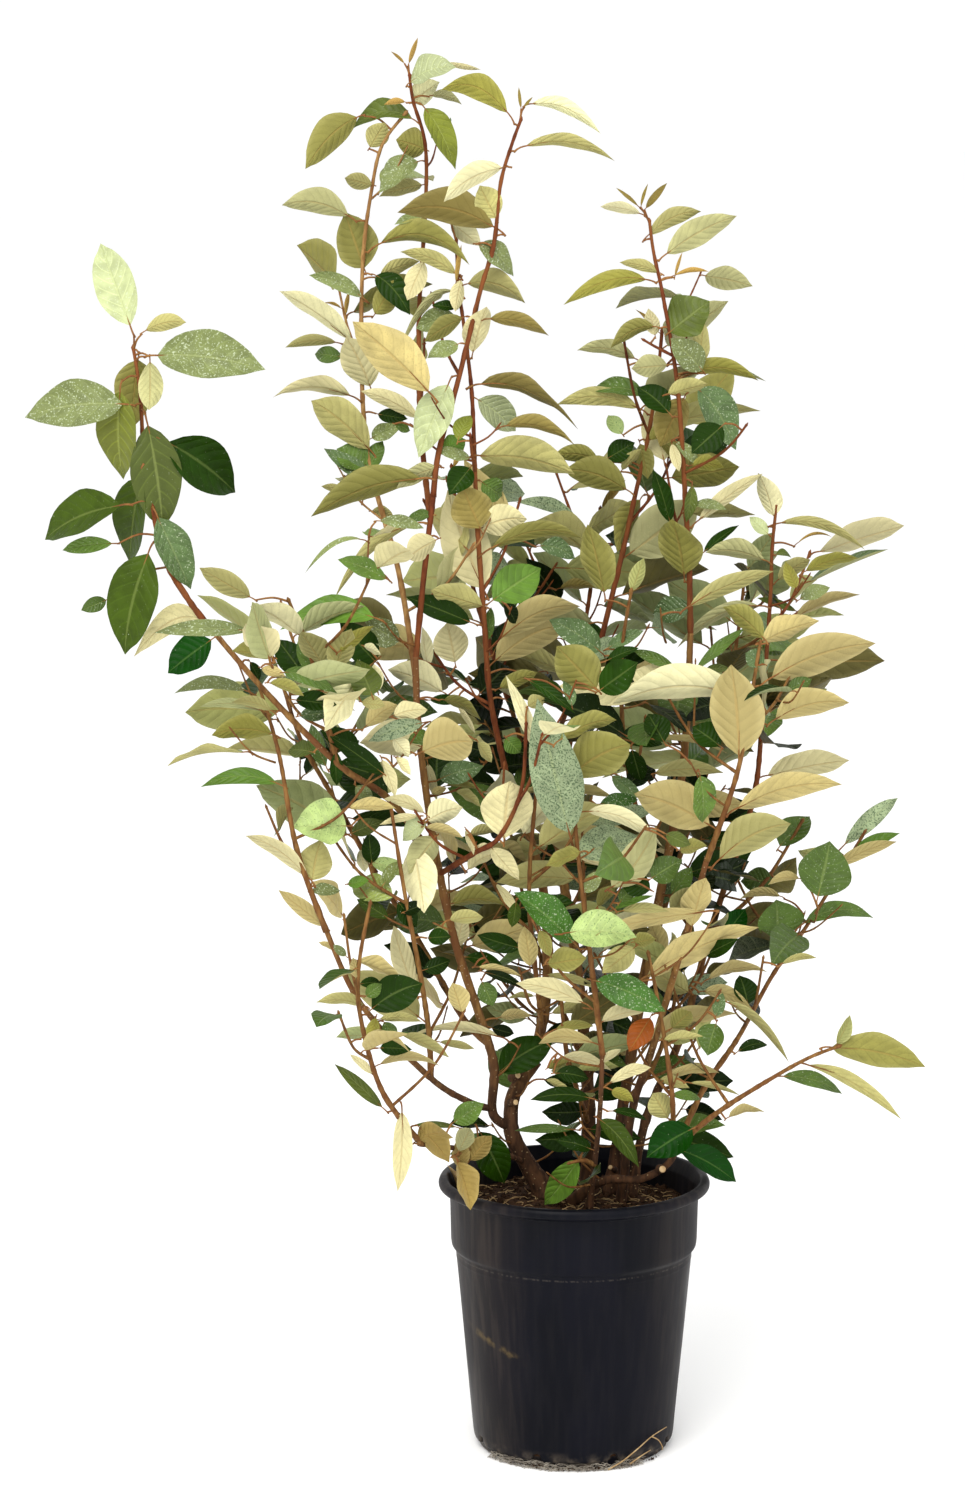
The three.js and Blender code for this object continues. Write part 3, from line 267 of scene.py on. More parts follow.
MASSES = {
    "foliage_centre": mass(11, 3, "9372964827394825736", "olive olive khaki tan", 6, 0.25, "red", [
        (-64, -5, 648), (-80, -15, 725), (-86, -20, 800), (-93, -10, 900), (-97, 14, 1000),
        (-102, 24, 1050), (-110, 30, 1110), (-112, 32, 1150)]),
    "foliage_top": mass(12, 1, "389739593847298", "olive straw khaki lime", 1, 0.0, "red", [
        (-133.5, -22, 917), (-128, -18, 960), (-110, -5, 1025), (-90, 5, 1105), (-77, 5, 1150),
        (-71, 0, 1205), (-61, -5, 1240), (-53, -10, 1262)], own=[
        (1238, 62, 0, 18), (1205, 82, -10, 4), (1165, -82, 10, 20)]),
    "foliage_high_tip": mass(13, 1, "9382947394829738", "olive khaki lime", 2, 0.2, "red", [
        (-136, -25, 895), (-146, 30, 985), (-147, 48, 1085), (-141, 50, 1180), (-141, 44, 1240),
        (-152, 34, 1280), (-155, 30, 1302)], own=[
        (925, -92, -30, -38), (1010, -80, -20, 72)]),
    "foliage_left_top": mass(14, 3, "94938739594839748", "straw khaki olive lime", 2, 0.15, "tan", [
        (-149, -41, 745), (-166, -4, 845), (-193, 30, 940), (-201, 45, 1020), (-200, 55, 1130),
        (-191, 55, 1200), (-181, 50, 1240), (-160, 42, 1268)], own=[
        (1075, -82, -20, 38), (1000, -94, -10, 16), (1168, -74, -10, 24)]),
    "foliage_far_left": mass(15, 0, "3", "sage", 0, 1.0, "red", [
        (-336, -140, 812), (-356, -142, 840), (-377, -140, 880), (-392, -132, 960), (-396, -126, 1020),
        (-402, -120, 1060)], own=[
        (1058, -30, 10, 86), (1050, 40, -4, 8), (1034, 98, -10, -12), (1020, -2, -40, -62),
        (980, -92, 6, 12), (990, -30, -28, -72), (968, 26, -24, -88), (950, 78, 8, -52),
        (905, -96, 4, -8), (915, -28, -26, -82), (885, 22, -18, -72), (845, -42, -14, -84),
        (860, -78, 40, 6)],
        own_kinds="pale khaki sage olive sage olive moss moss moss moss sage green green",
        light=(-0.1, -0.8, 0.5)),
    "foliage_left_slope": mass(16, 3, "963985", "straw cream sage", 1, 0.4, "brown", [
        (-220, -110, 680), (-232, -128, 730), (-245, -140, 790), (-262, -150, 835)]),
    "foliage_left_back": mass(17, 3, "9739829", "khaki green dark", 3, 0.5, "brown", [
        (-190, 49, 548), (-235, 72, 625), (-262, 82, 672), (-280, 90, 725), (-302, 96, 785)], own=[
        (640, -74, -10, 2)]),
    "foliage_low_left": mass(18, 3, "9397893", "straw khaki lime", 1, 0.4, "brown", [
        (-231, -127.5, 527), (-258, -127, 605), (-274, -114, 690), (-292, -102, 750)], own=[
        (548, -46, -20, 44)]),
    "foliage_left_inner": mass(19, 3, "39738392", "tan khaki straw", 5, 0.4, "brown", [
        (-136, -60, 373), (-138, -68, 420), (-146, -84, 480), (-160, -98, 560), (-172, -104, 640)]),
    "foliage_front_left": mass(20, 3, "98739374", "tan khaki lime", 1, 0.3, "brown", [
        (-144, -108, 321), (-180, -148, 382), (-199, -165, 455), (-200, -172, 505),
        (-190, -168, 560)], own=[
        (365, -46, -20, 24), (336, -8, -16, -72)]),
    "foliage_low_front": mass(21, 0, "98", "yellow lime", 0, 0.0, "brown", [
        (-72, -26, 292), (-79, -46, 302), (-92, -66, 308), (-114, -84, 304)], own=[
        (304, 22, -22, -44)]),
    "foliage_inner_front": mass(22, 3, "73648379", "tan tan khaki", 6, 0.4, "brown", [
        (-30, 22, 395), (-34, -30, 440), (-44, -66, 540), (-40, -84, 630), (-32, -96, 700)]),
    "foliage_centre_front": mass(23, 3, "746535683", "tan cream khaki", 5, 0.35, "red", [
        (-128, -44, 565), (-96, -84, 592), (-72, -108, 612), (-52, -128, 660), (-48, -138, 720)]),
    "foliage_tall_right": mass(24, 3, "92738493736483", "khaki olive lime", 3, 0.35, "red", [
        (24.5, 104.8, 758), (46, 115, 845), (58, 118, 900), (71, 120, 960), (80, 123, 1020),
        (84, 125, 1060)]),
    "foliage_right_top": mass(25, 3, "394728392384923", "straw lime khaki", 2, 0.2, "red", [
        (110, 52, 777), (108, 47, 850), (105, 45, 890), (96, 40, 1010), (82, 35, 1095), (72, 31, 1140),
        (68, 30, 1168)], own=[
        (1080, -76, -10, -4), (1100, 60, -8, 40), (955, 46, -20, -66), (985, 70, 10, 8)]),
    "foliage_right_inner": mass(26, 4, "9736493", "khaki tan green", 6, 0.5, "brown", [
        (86, 56, 545), (60, 20, 610), (45, -10, 690), (42, -30, 770), (50, -40, 830)]),
    "foliage_right": mass(27, 3, "39364928343", "straw straw sage", 1, 0.3, "red", [
        (154.5, 84, 552), (175, 80, 625), (181, 70, 715), (186, 60, 810), (187, 55, 860),
        (190, 50, 900)], own=[
        (862, 78, 0, -14), (800, 80, -14, 20)]),
    "foliage_right_front": mass(28, 3, "93739438", "straw tan straw", 2, 0.2, "brown", [
        (119.5, -94.8, 587), (140, -106, 650), (150, -111, 690), (158, -108, 740),
        (166, -104, 790)], own=[
        (676, 0, -14, 100), (655, 84, -20, 30), (640, -94, -18, -6), (610, 76, -24, 24)]),
    "foliage_front": mass(29, 3, "73956483", "tan silver khaki", 6, 0.5, "brown", [
        (24, -92, 403), (12, -118, 500), (2, -134, 580), (-4, -142, 650), (2, -146, 700)]),
    "foliage_front_right": mass(30, 2, "84753", "tan khaki", 4, 0.4, "brown", [
        (92, -47, 292), (90, -76, 360), (78, -94, 440), (66, -102, 500)], own=[
        (306, 60, -22, -26)]),
    "foliage_low_right": mass(31, 1, "46382", "green khaki", 2, 0.6, "brown", [
        (95.5, -53, 306), (130, -90, 346), (170, -120, 381), (210, -140, 410), (238, -150, 424)], own=[
        (423, 92, -8, -20), (402, 84, -24, -36), (384, 58, -24, -16), (392, -54, 10, 48)]),
    "foliage_right_reach": mass(32, 3, "5928392", "khaki green lime", 3, 0.6, "brown", [
        (94, -50, 300), (122, -30, 356), (156, 8, 396), (190, 38, 450), (226, 60, 497), (262, 75, 552),
        (280, 78, 582)], own=[
        (582, 52, 4, 50), (505, 72, -8, 16), (500, -60, -10, 10), (548, -44, -12, 24)]),
    "foliage_soil": mass(38, 0, "3", "green", 0, 1.0, "brown", [
        (19, -42, 284), (8, -50, 291), (-4, -55, 290)], own=[
        (290, -30, -34, -36)]),
    "foliage_low_middle": mass(39, 3, "73964837", "dark green tan", 7, 0.6, "brown", [
        (15, 53, 300), (4, 18, 340), (-8, -16, 390), (-14, -40, 450)], size=0.75),
    "foliage_low_inner": mass(40, 3, "364759", "tan green", 6, 0.5, "brown", [
        (48, 32, 325), (74, 8, 366), (92, -14, 425), (100, -26, 490)], size=0.75),
    "foliage_back_left": mass(33, 2, "e291e382", "green dark", 7, 0.3, "red", [
        (-61.5, 159, 698), (-90, 200, 780), (-110, 225, 860), (-118, 235, 920)]),
    "foliage_back_middle": mass(34, 2, "1e2x1e39", "green dark", 9, 0.3, "red", [
        (-38, 119, 623), (-5, 165, 690), (15, 200, 780), (28, 215, 880)]),
    "foliage_back_right": mass(35, 3, "2x1e3291", "green dark", 6, 0.3, "brown", [
        (119.5, 159.4, 588), (150, 195, 680), (165, 215, 760), (172, 225, 820)]),
    "foliage_back_low": mass(36, 2, "e19e3x1", "dark green", 8, 0.3, "brown", [
        (14, 58, 350), (-10, 120, 400), (-40, 175, 470), (-60, 210, 560)]),
    "foliage_low_back_right": mass(37, 3, "2e3125", "dark green", 5, 0.3, "brown", [
        (76, 74, 462), (130, 100, 480), (185, 130, 520), (225, 150, 580)]),
}

# Kinds of the leaves on finer twigs that turn their upper faces to the front.
FRONT_KINDS = ("dark", "dark", "green", "silver")

# Short leafy twigs straight from the limbs, by their number on each.
LIMB_TWIGS = {
    "trunk_left": 4, "trunk_middle": 16, "trunk_right": 14, "stem_back_right": 7, "stem_front_right": 7,
    "stem_front": 4, "stem_low_right": 3, "bough_centre": 12, "bough_left_upright": 10,
    "bough_left_upper": 3, "bough_far_left": 3, "bough_left_back": 4, "bough_low_left": 4,
    "bough_right_tall": 7, "bough_back": 8, "bough_back_right": 6,
}
LIMB_SPRAYS = {
    "kinds": ("dark", "tan", "green", "khaki", "tan"), "front": 0.55, "wood": "brown", "size": 0.95,
}
LIMB_SEED = 60

# Colours of each kind of leaf, upper face and underside, as they look in soft light.
LEAF_KINDS = {
    "olive": ((74, 94, 32), (130, 126, 62)),
    "khaki": ((84, 112, 44), (164, 158, 98)),
    "tan": ((62, 90, 30), (180, 164, 106)),
    "cream": ((100, 126, 66), (220, 214, 166)),
    "lime": ((122, 134, 68), (164, 162, 112)),
    "yellow": ((150, 138, 60), (146, 124, 64)),
    "dark": ((26, 50, 2), (134, 142, 92)),
    "green": ((78, 102, 38), (158, 160, 96)),
    "silver": ((136, 150, 114), (188, 184, 140)),
    "sage": ((112, 122, 72), (160, 164, 112)),
    "pale": ((172, 181, 132), (216, 214, 164)),
    "moss": ((78, 90, 32), (144, 148, 90)),
    "copper": ((136, 118, 54), (176, 142, 72)),
    "spring": ((114, 122, 40), (140, 136, 58)),
    "umber": ((74, 86, 34), (132, 118, 60)),
    "straw": ((104, 124, 62), (206, 197, 147)),
    "bright": ((88, 122, 40), (160, 172, 100)),
    "fern": ((56, 74, 16), (150, 158, 100)),
    "speckled": ((58, 96, 30), (150, 158, 100)),
    "frosted": ((160, 180, 112), (180, 188, 130)),
    "teal": ((84, 106, 62), (150, 158, 108)),
    "glossy": ((8, 56, 0), (134, 142, 92)),
    # Painted shade: very dark colours that stand in for the shade inside the crown.
    "deep": ((14, 28, 2), (84, 78, 36)),
    "rust": ((134, 66, 4), (84, 46, 14)),
    "dry": ((180, 150, 100), (164, 136, 90)),
}

# Leaves that the front view shows singly, by their kind and the face that they show: where the base and
# the tip are in the view, the width, and, where the leaf arches upward, how far as a part of its length.
SHOWN = {}
SHOWN["bright", "upper"] = (
    (493, 600, 540, 563, 36), (374, 622, 283, 611, 30, 0.1), (277, 788, 201, 784, 16, 0.13),
    (856, 850, 898, 830, 15), (506, 738, 520, 754, 16), (614, 910, 652, 896, 6, 0.05),
    (348, 884, 368, 880, 12), (578, 1160, 546, 1211, 26), (444, 452, 465, 438, 20),
)
SHOWN["copper", "under"] = (
    (404, 63, 391, 49, 8), (409, 63, 417, 38, 9), (405, 103, 384, 103, 12, 0.1), (456, 282, 459, 243, 9),
    (346, 314, 346, 290, 9), (341, 309, 321, 301, 10, 0.1), (675, 276, 710, 266, 10, 0.05),
    (798, 546, 832, 537, 7, 0.2), (675, 276, 680, 252, 6),
)
SHOWN["copper", "upper"] = (
    (521, 108, 518, 88, 6), (523, 108, 533, 97, 5), (638, 206, 616, 186, 8), (646, 208, 665, 184, 14),
    (641, 206, 645, 184, 6),
)
SHOWN["cream", "under"] = (
    (428, 666, 421, 628, 15), (640, 215, 597, 207, 11, 0.06), (774, 516, 764, 470, 26),
    (740, 702, 617, 690, 40, 0.1), (358, 678, 321, 732, 37), (378, 691, 374, 662, 14),
    (546, 770, 511, 670, 13), (588, 815, 663, 830, 17, 0.1), (442, 693, 389, 667, 29, 0.05),
    (428, 821, 460, 804, 27, 0.05), (364, 646, 382, 652, 12), (394, 738, 410, 756, 18),
    (360, 850, 366, 872, 14), (452, 222, 480, 246, 24), (351, 343, 274, 288, 23, 0.05),
    (414, 847, 425, 913, 35), (502, 170, 434, 192, 24, 0.06), (524, 834, 554, 789, 35),
)
SHOWN["dark", "upper"] = (
    (376, 278, 413, 308, 24, 0.1), (470, 468, 451, 493, 24), (470, 622, 411, 598, 22),
    (669, 414, 640, 384, 25, 0.05), (722, 426, 692, 452, 28), (618, 742, 666, 744, 22, 0.1),
    (664, 742, 648, 712, 24), (720, 746, 694, 724, 26), (306, 679, 278, 636, 27),
    (372, 863, 367, 834, 18), (384, 774, 334, 736, 17), (359, 748, 322, 727, 20),
    (500, 1073, 549, 1035, 33, 0.05), (591, 1150, 559, 1141, 15, 0.05), (590, 1101, 534, 1104, 15, 0.1),
    (748, 1004, 742, 974, 25), (738, 1053, 768, 1041, 11, 0.1), (608, 458, 634, 444, 22),
    (670, 522, 658, 470, 18), (704, 552, 738, 520, 11), (250, 662, 262, 682, 10),
    (296, 700, 336, 704, 18), (430, 700, 462, 698, 10), (336, 752, 334, 788, 12),
    (480, 760, 470, 740, 12), (530, 682, 572, 712, 10, 0.05), (600, 690, 636, 664, 30),
    (608, 660, 636, 644, 12), (632, 750, 642, 784, 20), (520, 948, 476, 938, 18),
    (466, 958, 506, 966, 14, 0.05), (650, 890, 622, 878, 22), (556, 1074, 590, 1078, 16, 0.05),
    (612, 1112, 650, 1116, 8, 0.05), (480, 1132, 512, 1186, 32), (398, 902, 420, 926, 18),
    (428, 938, 450, 936, 16), (424, 970, 452, 962, 16), (360, 984, 382, 980, 10),
    (380, 1048, 410, 1046, 14), (455, 308, 433, 302, 12), (378, 414, 405, 420, 14),
    (372, 1011, 421, 981, 33, 0.08), (168, 445, 244, 502, 47, 0.05),
)
# Painted shade: leaves in the shade of the crown, drawn in very dark colours.
SHOWN["deep", "upper"] = (
    (486, 752, 462, 744, 14), (494, 652, 508, 618, 16), (504, 604, 520, 622, 14),
    (602, 672, 634, 680, 20), (626, 786, 650, 764, 18), (506, 700, 530, 714, 16),
    (484, 972, 526, 980, 10), (492, 1028, 514, 1036, 12), (404, 912, 424, 904, 14),
    (560, 600, 530, 560, 26),
)
SHOWN["fern", "upper"] = (
    (120, 508, 32, 534, 40, 0.05), (148, 554, 107, 646, 48), (600, 1121, 643, 1156, 19, 0.05),
    (516, 902, 514, 930, 12), (388, 918, 358, 898, 14), (140, 477, 122, 570, 43),
)
SHOWN["frosted", "upper"] = (
    (346, 826, 296, 824, 47), (570, 934, 635, 932, 39, 0.05), (622, 434, 606, 414, 16),
    (372, 862, 410, 872, 18),
)
SHOWN["glossy", "upper"] = (
    (211, 640, 165, 669, 34), (721, 942, 750, 911, 23, 0.05), (692, 1130, 649, 1159, 34, 0.05),
    (680, 1152, 741, 1182, 26, 0.05),
)
SHOWN["green", "upper"] = (
    (779, 937, 775, 901, 46), (342, 357, 311, 350, 16), (386, 580, 340, 560, 18, 0.05),
    (644, 398, 591, 386, 20, 0.1), (780, 846, 806, 810, 30), (674, 667, 632, 648, 11),
    (697, 669, 742, 622, 11), (112, 545, 58, 555, 15, 0.05), (106, 600, 82, 610, 14),
    (318, 677, 298, 634, 22), (284, 675, 336, 688, 15, 0.1), (326, 766, 304, 722, 17),
    (454, 1122, 482, 1103, 21), (572, 1131, 512, 1136, 9, 0.05), (818, 896, 832, 842, 52),
    (805, 927, 874, 905, 18, 0.12), (772, 880, 742, 880, 25), (783, 1078, 850, 1086, 15, 0.05),
    (788, 690, 812, 678, 14), (700, 776, 712, 824, 26), (488, 640, 490, 606, 12), (526, 676, 566, 706, 9),
    (652, 878, 680, 858, 26), (482, 982, 494, 1006, 18), (620, 902, 636, 880, 14),
    (672, 894, 692, 866, 18), (716, 1024, 704, 1054, 26), (672, 1096, 704, 1098, 10, 0.05),
    (366, 996, 382, 984, 14), (384, 1022, 396, 1038, 14), (395, 424, 412, 430, 10),
    (366, 466, 338, 446, 30), (368, 470, 382, 440, 18), (482, 482, 505, 500, 24),
    (432, 516, 404, 522, 12, 0.1),
)
SHOWN["khaki", "under"] = (
    (370, 147, 386, 122, 22), (526, 152, 613, 158, 17, 0.14), (496, 218, 478, 186, 26),
    (372, 185, 343, 178, 16), (422, 186, 380, 196, 19, 0.05), (456, 276, 405, 246, 16, 0.08),
    (468, 288, 529, 297, 26, 0.14), (336, 345, 283, 350, 11, 0.1), (414, 530, 324, 582, 15, 0.12),
    (482, 606, 428, 590, 26), (638, 413, 562, 402, 19, 0.13), (659, 273, 622, 256, 11, 0.03),
    (649, 238, 698, 209, 17, 0.12), (698, 368, 701, 322, 21), (780, 528, 866, 538, 11, 0.12),
    (778, 581, 811, 556, 16, 0.05), (690, 607, 766, 560, 17, 0.03), (146, 333, 188, 325, 15, 0.12),
    (250, 597, 198, 567, 22), (323, 664, 300, 629, 27), (334, 669, 352, 627, 27),
    (271, 712, 231, 692, 13, 0.06), (312, 880, 316, 841, 32), (364, 1007, 322, 995, 13, 0.06),
    (402, 1036, 449, 1056, 15, 0.05), (782, 966, 819, 956, 7, 0.1), (726, 1006, 790, 1051, 11, 0.1),
    (808, 1068, 906, 1104, 13, 0.06), (668, 394, 708, 382, 20), (622, 470, 640, 446, 12),
    (655, 775, 716, 768, 18, 0.05), (326, 668, 352, 684, 12), (362, 702, 384, 706, 14),
    (456, 792, 482, 804, 12, 0.05), (470, 834, 496, 826, 14), (528, 706, 544, 696, 14),
    (478, 742, 492, 764, 14), (450, 920, 486, 912, 16), (546, 976, 604, 984, 9, 0.03),
    (634, 948, 604, 972, 24), (688, 992, 650, 972, 26), (672, 912, 690, 884, 20),
    (622, 912, 668, 908, 10, 0.05), (664, 1040, 704, 1034, 14), (552, 1014, 590, 1006, 12, 0.05),
    (534, 996, 510, 994, 9), (440, 1042, 476, 1046, 8), (546, 1080, 572, 1090, 10),
    (668, 1118, 652, 1090, 24), (660, 1080, 690, 1086, 12, 0.05), (690, 1084, 736, 1094, 9, 0.05),
    (380, 1020, 420, 1016, 12, 0.05), (380, 276, 418, 262, 16, 0.05), (345, 490, 321, 485, 8),
    (372, 512, 394, 517, 12, 0.1), (369, 452, 308, 401, 34, 0.08), (480, 458, 567, 464, 42, 0.05),
    (720, 862, 786, 814, 35, 0.08),
)
SHOWN["lime", "under"] = (
    (612, 883, 663, 826, 30, -0.1), (432, 97, 462, 100, 12, 0.1), (457, 304, 401, 346, 8, 0.3),
    (438, 470, 396, 488, 20, 0.1), (667, 255, 731, 211, 27, 0.04), (667, 365, 630, 368, 22),
    (764, 563, 704, 550, 23, 0.1), (759, 611, 676, 633, 14, 0.12), (150, 362, 153, 415, 22),
    (435, 838, 409, 869, 27), (348, 219, 283, 197, 25, 0.1), (635, 362, 577, 350, 19, 0.12),
)
SHOWN["lime", "upper"] = (
    (393, 898, 349, 880, 27, 0.05), (384, 884, 400, 862, 14),
)
SHOWN["moss", "upper"] = (
    (412, 125, 350, 124, 20, 0.2), (670, 332, 708, 300, 42), (148, 426, 172, 529, 45),
    (312, 752, 288, 745, 18), (352, 833, 381, 820, 16), (372, 695, 360, 661, 27),
    (382, 1108, 333, 1069, 13, 0.03), (692, 486, 690, 522, 12), (776, 556, 792, 556, 8, 0.2),
    (796, 612, 756, 600, 8, 0.05), (706, 670, 730, 668, 8, 0.05), (666, 834, 690, 846, 14),
    (456, 1128, 414, 1124, 6, 0.05),
)
SHOWN["olive", "under"] = (
    (832, 1050, 922, 1064, 32, 0.06), (492, 553, 590, 525, 18, 0.1), (604, 592, 594, 522, 33),
    (570, 778, 632, 738, 43, 0.06), (452, 906, 504, 898, 33, 0.1), (357, 121, 300, 166, 30, 0.1),
    (364, 268, 346, 218, 40), (425, 150, 396, 142, 28, 0.05), (381, 253, 476, 260, 25, 0.2),
    (375, 314, 398, 284, 22), (626, 492, 564, 466, 32, 0.08), (598, 462, 553, 455, 20, 0.1),
    (654, 330, 609, 343, 18, 0.15), (684, 574, 680, 515, 42), (763, 640, 724, 607, 27, 0.1),
    (272, 657, 236, 646, 22), (560, 743, 613, 717, 25, 0.1), (650, 440, 676, 418, 18),
    (640, 444, 650, 478, 18), (660, 440, 690, 462, 16), (270, 684, 306, 694, 14, 0.05),
    (444, 702, 486, 716, 18, 0.1), (446, 788, 486, 788, 9, 0.1), (596, 688, 556, 644, 40),
    (500, 688, 538, 668, 16), (580, 852, 544, 862, 24), (680, 850, 706, 846, 20),
    (540, 930, 552, 956, 12), (548, 964, 586, 956, 24), (634, 942, 656, 938, 20),
    (598, 906, 614, 884, 14), (672, 1028, 694, 1008, 20), (556, 1030, 592, 1022, 10, 0.05),
    (548, 1068, 566, 1058, 12), (462, 318, 420, 334, 20), (640, 500, 605, 545, 30),
    (420, 484, 311, 517, 36, 0.1), (138, 360, 128, 421, 35),
)
SHOWN["pale", "under"] = (
    (413, 101, 438, 82, 26), (532, 108, 598, 119, 15, 0.12),
)
SHOWN["pale", "upper"] = (
    (411, 84, 450, 64, 30, 0.1), (448, 385, 418, 452, 33), (478, 401, 518, 432, 29, 0.05),
    (130, 325, 97, 238, 37), (426, 822, 400, 838, 23), (768, 534, 749, 517, 13), (404, 222, 440, 240, 18),
)
SHOWN["rust", "upper"] = (
    (650, 1018, 632, 1050, 22),
)
SHOWN["sage", "under"] = (
    (262, 714, 196, 709, 9, 0.1),
)
SHOWN["sage", "upper"] = (
    (399, 641, 364, 624, 25), (418, 164, 376, 188, 27, 0.1), (479, 247, 518, 273, 24, 0.1),
    (362, 300, 310, 277, 15, 0.1), (456, 318, 414, 326, 22, 0.05), (458, 344, 427, 354, 20),
    (702, 370, 676, 338, 27), (158, 358, 260, 368, 44, 0.05), (122, 408, 24, 425, 45, 0.08),
    (248, 633, 158, 636, 15, 0.05), (246, 695, 172, 689, 13, 0.12), (312, 891, 341, 886, 14),
    (676, 442, 704, 462, 12), (694, 506, 726, 512, 10, 0.1), (800, 600, 830, 586, 14, 0.05),
    (356, 786, 372, 802, 14), (584, 892, 602, 872, 14), (346, 956, 334, 944, 8), (425, 212, 396, 224, 14),
    (372, 438, 398, 424, 16), (470, 458, 436, 450, 12), (380, 522, 424, 528, 12, 0.05),
    (362, 546, 308, 570, 5, 0.22),
)
SHOWN["silver", "upper"] = (
    (576, 521, 522, 494, 15, 0.08), (569, 832, 537, 714, 45), (577, 856, 653, 837, 45, 0.04),
    (423, 724, 369, 742, 16, 0.05), (845, 846, 903, 799, 17, 0.05),
)
SHOWN["speckled", "upper"] = (
    (573, 944, 519, 897, 35, 0.05), (596, 983, 662, 1013, 29, 0.06), (600, 804, 640, 798, 14),
)
SHOWN["spring", "under"] = (
    (507, 119, 449, 80, 27, 0.2), (646, 285, 567, 299, 17, 0.13), (686, 378, 755, 374, 20, 0.13),
    (806, 573, 858, 554, 19, 0.08), (272, 737, 211, 731, 25, 0.1), (340, 651, 369, 624, 15),
    (692, 466, 724, 464, 16, 0.05), (796, 588, 786, 562, 14), (612, 1090, 634, 1098, 14),
    (376, 1018, 370, 1044, 12),
)
SHOWN["spring", "upper"] = (
    (120, 392, 108, 480, 44), (425, 110, 463, 162, 26, 0.05), (458, 440, 466, 410, 16),
)
SHOWN["straw", "under"] = (
    (473, 352, 482, 303, 27), (370, 386, 352, 332, 34), (350, 401, 269, 397, 23, 0.13),
    (483, 588, 440, 498, 44), (699, 521, 760, 470, 15, 0.03), (498, 1039, 411, 1020, 17, 0.06),
    (436, 540, 402, 556, 24), (402, 1112, 409, 1188, 19), (418, 420, 362, 387, 16, 0.06),
    (482, 530, 527, 520, 30, 0.1), (455, 662, 447, 621, 34), (202, 626, 141, 643, 24, 0.2),
    (272, 657, 248, 620, 34), (572, 852, 626, 868, 13, -0.04), (504, 838, 505, 777, 47),
    (424, 815, 383, 797, 13, 0.1), (468, 871, 493, 850, 18, 0.1), (492, 848, 516, 879, 18),
    (602, 1023, 643, 1004, 15, 0.05), (414, 989, 383, 921, 21), (610, 1085, 655, 1068, 12, 0.1),
    (560, 1062, 608, 1060, 11, 0.1), (655, 335, 650, 309, 14), (672, 444, 680, 472, 10),
    (394, 716, 428, 706, 20, 0.05), (396, 758, 412, 774, 12), (382, 760, 396, 794, 14),
    (428, 764, 436, 796, 9), (418, 816, 380, 818, 9), (474, 852, 496, 846, 12), (466, 830, 474, 852, 8),
    (458, 706, 478, 732, 6), (496, 884, 522, 914, 9), (456, 948, 462, 916, 20), (600, 1064, 620, 1046, 8),
    (372, 1074, 352, 1052, 9), (446, 63, 480, 71, 6), (424, 262, 404, 300, 20), (461, 280, 452, 312, 14),
    (421, 748, 361, 735, 44, 0.05), (583, 1005, 515, 981, 21, 0.07), (308, 880, 251, 829, 17, 0.08),
)
SHOWN["tan", "under"] = (
    (428, 391, 358, 313, 42), (502, 642, 582, 598, 30, 0.1), (496, 664, 566, 622, 38, 0.1),
    (762, 641, 812, 614, 27), (796, 618, 857, 585, 16, 0.04), (772, 680, 864, 634, 38, 0.05),
    (776, 722, 846, 692, 32, 0.08), (738, 812, 830, 780, 29, 0.08), (349, 809, 393, 808, 14, 0.05),
    (709, 827, 636, 794, 44, 0.06), (423, 753, 479, 737, 44, 0.05), (647, 976, 739, 905, 42),
    (702, 912, 584, 922, 17), (651, 1042, 723, 992, 35, 0.05), (593, 1046, 529, 1044, 13, 0.1),
    (358, 962, 404, 980, 21, 0.05), (366, 1040, 413, 1047, 13, 0.14), (380, 1068, 437, 1062, 13, 0.14),
    (668, 1080, 716, 1066, 15, 0.1), (834, 869, 896, 838, 13, 0.05), (799, 880, 767, 878, 10, 0.1),
    (780, 898, 741, 892, 13, 0.1), (708, 982, 763, 962, 17, 0.1), (704, 993, 750, 998, 17, 0.08),
    (729, 1118, 763, 1102, 13, 0.05), (262, 668, 284, 676, 12), (366, 728, 398, 706, 18, 0.1),
    (432, 794, 446, 786, 10), (426, 828, 462, 838, 12, 0.05), (478, 968, 520, 974, 10, 0.05),
    (530, 966, 528, 926, 18), (692, 926, 700, 872, 26), (500, 1018, 528, 1014, 12, 0.05),
    (462, 1012, 452, 982, 20), (324, 926, 280, 892, 15), (338, 950, 320, 940, 8),
    (358, 978, 350, 958, 10),
)
SHOWN["teal", "upper"] = (
    (158, 518, 191, 591, 35), (698, 393, 743, 449, 35, 0.1), (690, 606, 651, 616, 25),
    (764, 664, 744, 654, 18), (300, 716, 330, 710, 14), (440, 780, 478, 768, 22, 0.05),
    (600, 652, 560, 616, 26, 0.02), (608, 648, 642, 628, 13), (572, 706, 568, 676, 12),
    (612, 776, 640, 800, 14), (660, 904, 676, 880, 14), (716, 1016, 724, 994, 12),
    (372, 478, 322, 452, 18), (540, 548, 578, 556, 18, 0.1),
)
SHOWN["umber", "under"] = (
    (684, 398, 655, 442, 32), (480, 528, 462, 486, 40), (493, 232, 402, 208, 38, 0.12),
    (490, 322, 552, 336, 18, 0.1), (481, 392, 584, 420, 29, 0.14), (506, 430, 577, 436, 20, 0.12),
    (560, 590, 596, 588, 12, 0.1),
)
SHOWN["yellow", "under"] = (
    (418, 1142, 456, 1128, 28, 0.1), (470, 1160, 489, 1134, 20), (420, 1128, 452, 1154, 26),
    (462, 1168, 456, 1140, 18),
)

